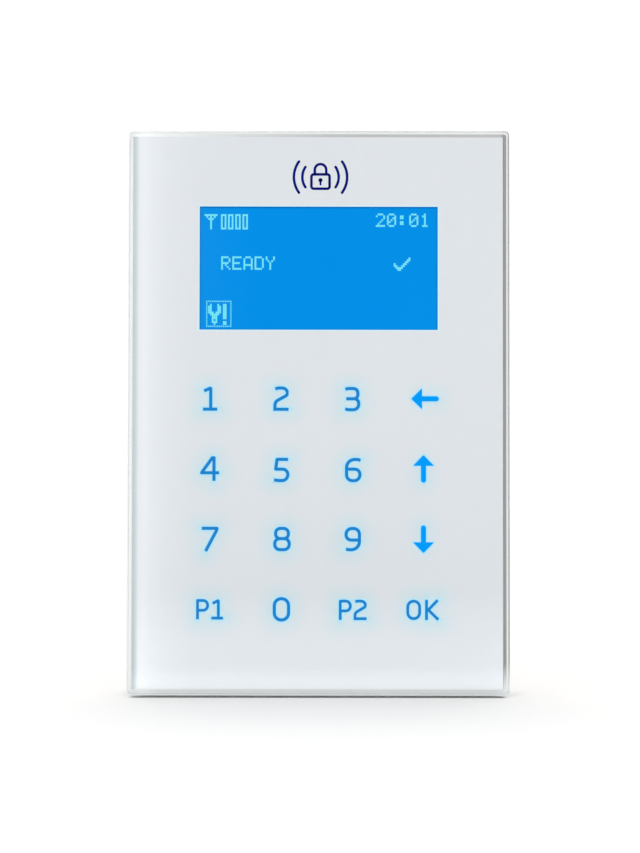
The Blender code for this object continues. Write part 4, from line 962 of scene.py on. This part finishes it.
leg_metal = plated_metal("tinned_copper_legs", (0.74, 0.73, 0.7), (0.62, 0.6, 0.56), 0.2, (1, 1, 1), 900)
lo, hi, mid = box_mm("controller_chip")
step = np.linspace(-4.0, 4.0, 11)
legs_piece("controller_legs", [
    ([(hi[0], mid[2] + p) for p in step], (1, 0), {}),
    ([(lo[0], mid[2] + p) for p in step], (-1, 0), {}),
    ([(mid[0] + p, hi[2]) for p in step], (0, 1), {}),
    ([(mid[0] + p, lo[2]) for p in step], (0, -1), {}),
])
lo, hi, mid = box_mm("bus_driver_chip")
legs_piece("bus_driver_legs", [
    ([(mid[0] + p, z) for p in (-1.9, -0.63, 0.63, 1.9)], (0, way), {"width": 0.42})
    for z, way in ((hi[2], 1), (lo[2], -1))])
lo, hi, mid = box_mm("regulator")
legs_piece("regulator_legs", [
    ([(mid[0] + p, lo[2]) for p in (-2.3, 0.0, 2.3)], (0, -1), {"width": 0.75, "root": 0.9, "reach": 1.4}),
    ([(mid[0], hi[2])], (0, 1), {"width": 3.2, "root": 0.9, "reach": 1.4}),
])


def epoxy(name, colour, tint, dot=None, dot_radius=0.45):
    """Moulded black epoxy: cloudy in tone and gloss, with a fine sparkle of filler, and a pin mark as
    a small shallow dish at dot, (x, z) in millimetres."""
    finish, n = new_finish(name)
    cloud, sparkle = n.noise(260, 5), n.noise(6000, 2)
    flake = n.ranged(sparkle, (0.66, 0.74), (0, 0.35))
    tone = n.mix(flake, n.mix(cloud, colour, tint), (0.16, 0.16, 0.16))
    height = sparkle
    if dot:
        centre = (dot[0] * MM, 0, dot[1] * MM)
        from_dot = n.add("VectorMath", {0: n.place, 1: centre}, operation="SUBTRACT")
        flat_at = n.add("VectorMath", {0: from_dot, 1: (1, 0, 1)}, operation="MULTIPLY")
        away = n.add("VectorMath", {0: flat_at}, "Value", operation="LENGTH")
        dish = n.ranged(away, ((dot_radius + 0.05) * MM, dot_radius * MM))
        tone = n.mix(dish, tone, (0.075, 0.075, 0.078))
        height = n.math("ADD", n.math("MULTIPLY", dish, -6.0), sparkle)
    n.put({"Base Color": tone, "Roughness": n.ranged(cloud, to=(0.35, 0.62))})
    n.bump(height, 0.4, 0.00002)
    return finish


dress(epoxy("controller_epoxy", (0.02, 0.02, 0.022), (0.032, 0.032, 0.034), (-3.8, 15.8)),
      "controller_chip")
dress(epoxy("driver_epoxy", (0.018, 0.018, 0.02), (0.028, 0.028, 0.03), (15.4, -5.2), 0.35),
      "bus_driver_chip")
dress(epoxy("regulator_epoxy", (0.02, 0.02, 0.022), (0.032, 0.032, 0.034)), "regulator")
dress(epoxy("coil_ferrite", (0.045, 0.045, 0.047), (0.075, 0.073, 0.07)), "inductor")
dress(epoxy("buzzer_shell", (0.022, 0.022, 0.024), (0.034, 0.034, 0.036), (-28.0, -24.0), 1.1), "buzzer")
dress(epoxy("switch_shell", (0.024, 0.024, 0.026), (0.038, 0.038, 0.04)), "tamper_switch_body")

# The can's top carries a dark printed segment that marks the minus side.
MARK_SHARE = 0.86
for k in (1, 2):
    lo, hi, mid = box_mm(f"capacitor_{k}")
    radius = (hi[0] - lo[0]) / 2 * MARK_SHARE
    segment = mid[[0, 2]] - arc_line(radius, -62, 62, steps=17)
    settle(flat_piece(f"capacitor_{k}_mark", segment, [list(range(17))], (hi[1] + 0.012) * MM, back=True),
           epoxy(f"capacitor_{k}_ink", (0.02, 0.02, 0.022), (0.035, 0.035, 0.04)))

# ---------------- Address switch and tamper plunger
# A four way slide switch in a blue shell sets the keypad's address; its sliders and the plunger of
# the tamper switch are white nylon.
dress(moulded_plastic("blue_switch_plastic", (0.012, 0.075, 0.36), (0.01, 0.058, 0.29), 0.4, 2600, 0.25,
                      mottle=240), "address_switch_body")
dress(moulded_plastic("white_slider_nylon", (0.8, 0.79, 0.75), (0.72, 0.71, 0.66), 0.42, 3000, 0.25,
                      mottle=400), "tamper_plunger", *four("address_slider"))


def middles(name):
    """The x of the middle of each of the four nodes name_1 to name_4, in millimetres."""
    return [box_mm(each)[2][0] for each in four(name)]


lo, hi, _ = box_mm("address_switch_body")
sliders = middles("address_slider")
legs_piece("address_switch_legs", [
    ([(x, z) for x in sliders], (0, way), {"width": 0.6, "root": 1.2, "reach": 1.3})
    for z, way in ((hi[2], 1), (lo[2], -1))])
FIGURES = {
    "1": ([(-0.25, 0.3, 0), (0.05, 0.5, 0.05), (0.05, -0.5, 0)],),
    "2": ([(-0.28, 0.32, 0), (-0.1, 0.5, 0.2), (0.28, 0.5, 0.25), (0.28, 0.1, 0.25), (-0.28, -0.5, 0),
           (0.3, -0.5, 0)],),
    "3": ([(-0.28, 0.5, 0), (0.26, 0.5, 0.24), (0.26, 0.04, 0.22), (-0.1, 0.04, 0)],
          [(-0.1, 0.04, 0), (0.28, 0.04, 0.25), (0.28, -0.5, 0.25), (-0.28, -0.5, 0)]),
    "4": ([(0.14, -0.5, 0), (0.14, 0.5, 0.01), (-0.3, -0.2, 0.01), (0.3, -0.2, 0)],),
}


def back_figures(name, spots, z, y, size=1.0):
    """The figures 1 to 4 at these xs, printed on a surface that faces the back at y, drawn mirrored so
    that they read from behind. x, z and size in millimetres."""
    strokes = [(ribbon(bent_line(np.array(stroke) * size), 0.15 * size), x)
               for figure, x in zip(FIGURES.values(), spots) for stroke in figure]
    points, faces = gather([(p * (-1, 1) + (x, z), f) for (p, f), x in strokes])
    settle(flat_piece(name, points, faces, y, back=True), white_ink)


white_ink = two_tone("white_marking_ink", (0.76, 0.77, 0.76), (0.62, 0.64, 0.63), 3000, 0.6)
back_figures("address_figures", sliders, -5.45, (hi[1] + 0.012) * MM)

# ---------------- Terminal block
# The four wire terminals are a green polyamide block, whose clamps take the keypad's wires.
dress(moulded_plastic("green_terminal_plastic", (0.01, 0.185, 0.062), (0.007, 0.14, 0.048), 0.38, 2400,
                      0.3, mottle=150), "terminal_block")
back_figures("terminal_figures", middles("terminal_screw"), box_mm("terminal_block")[1][2] + 1.6,
             BOARD_BACK + 0.03 * MM, 1.35)
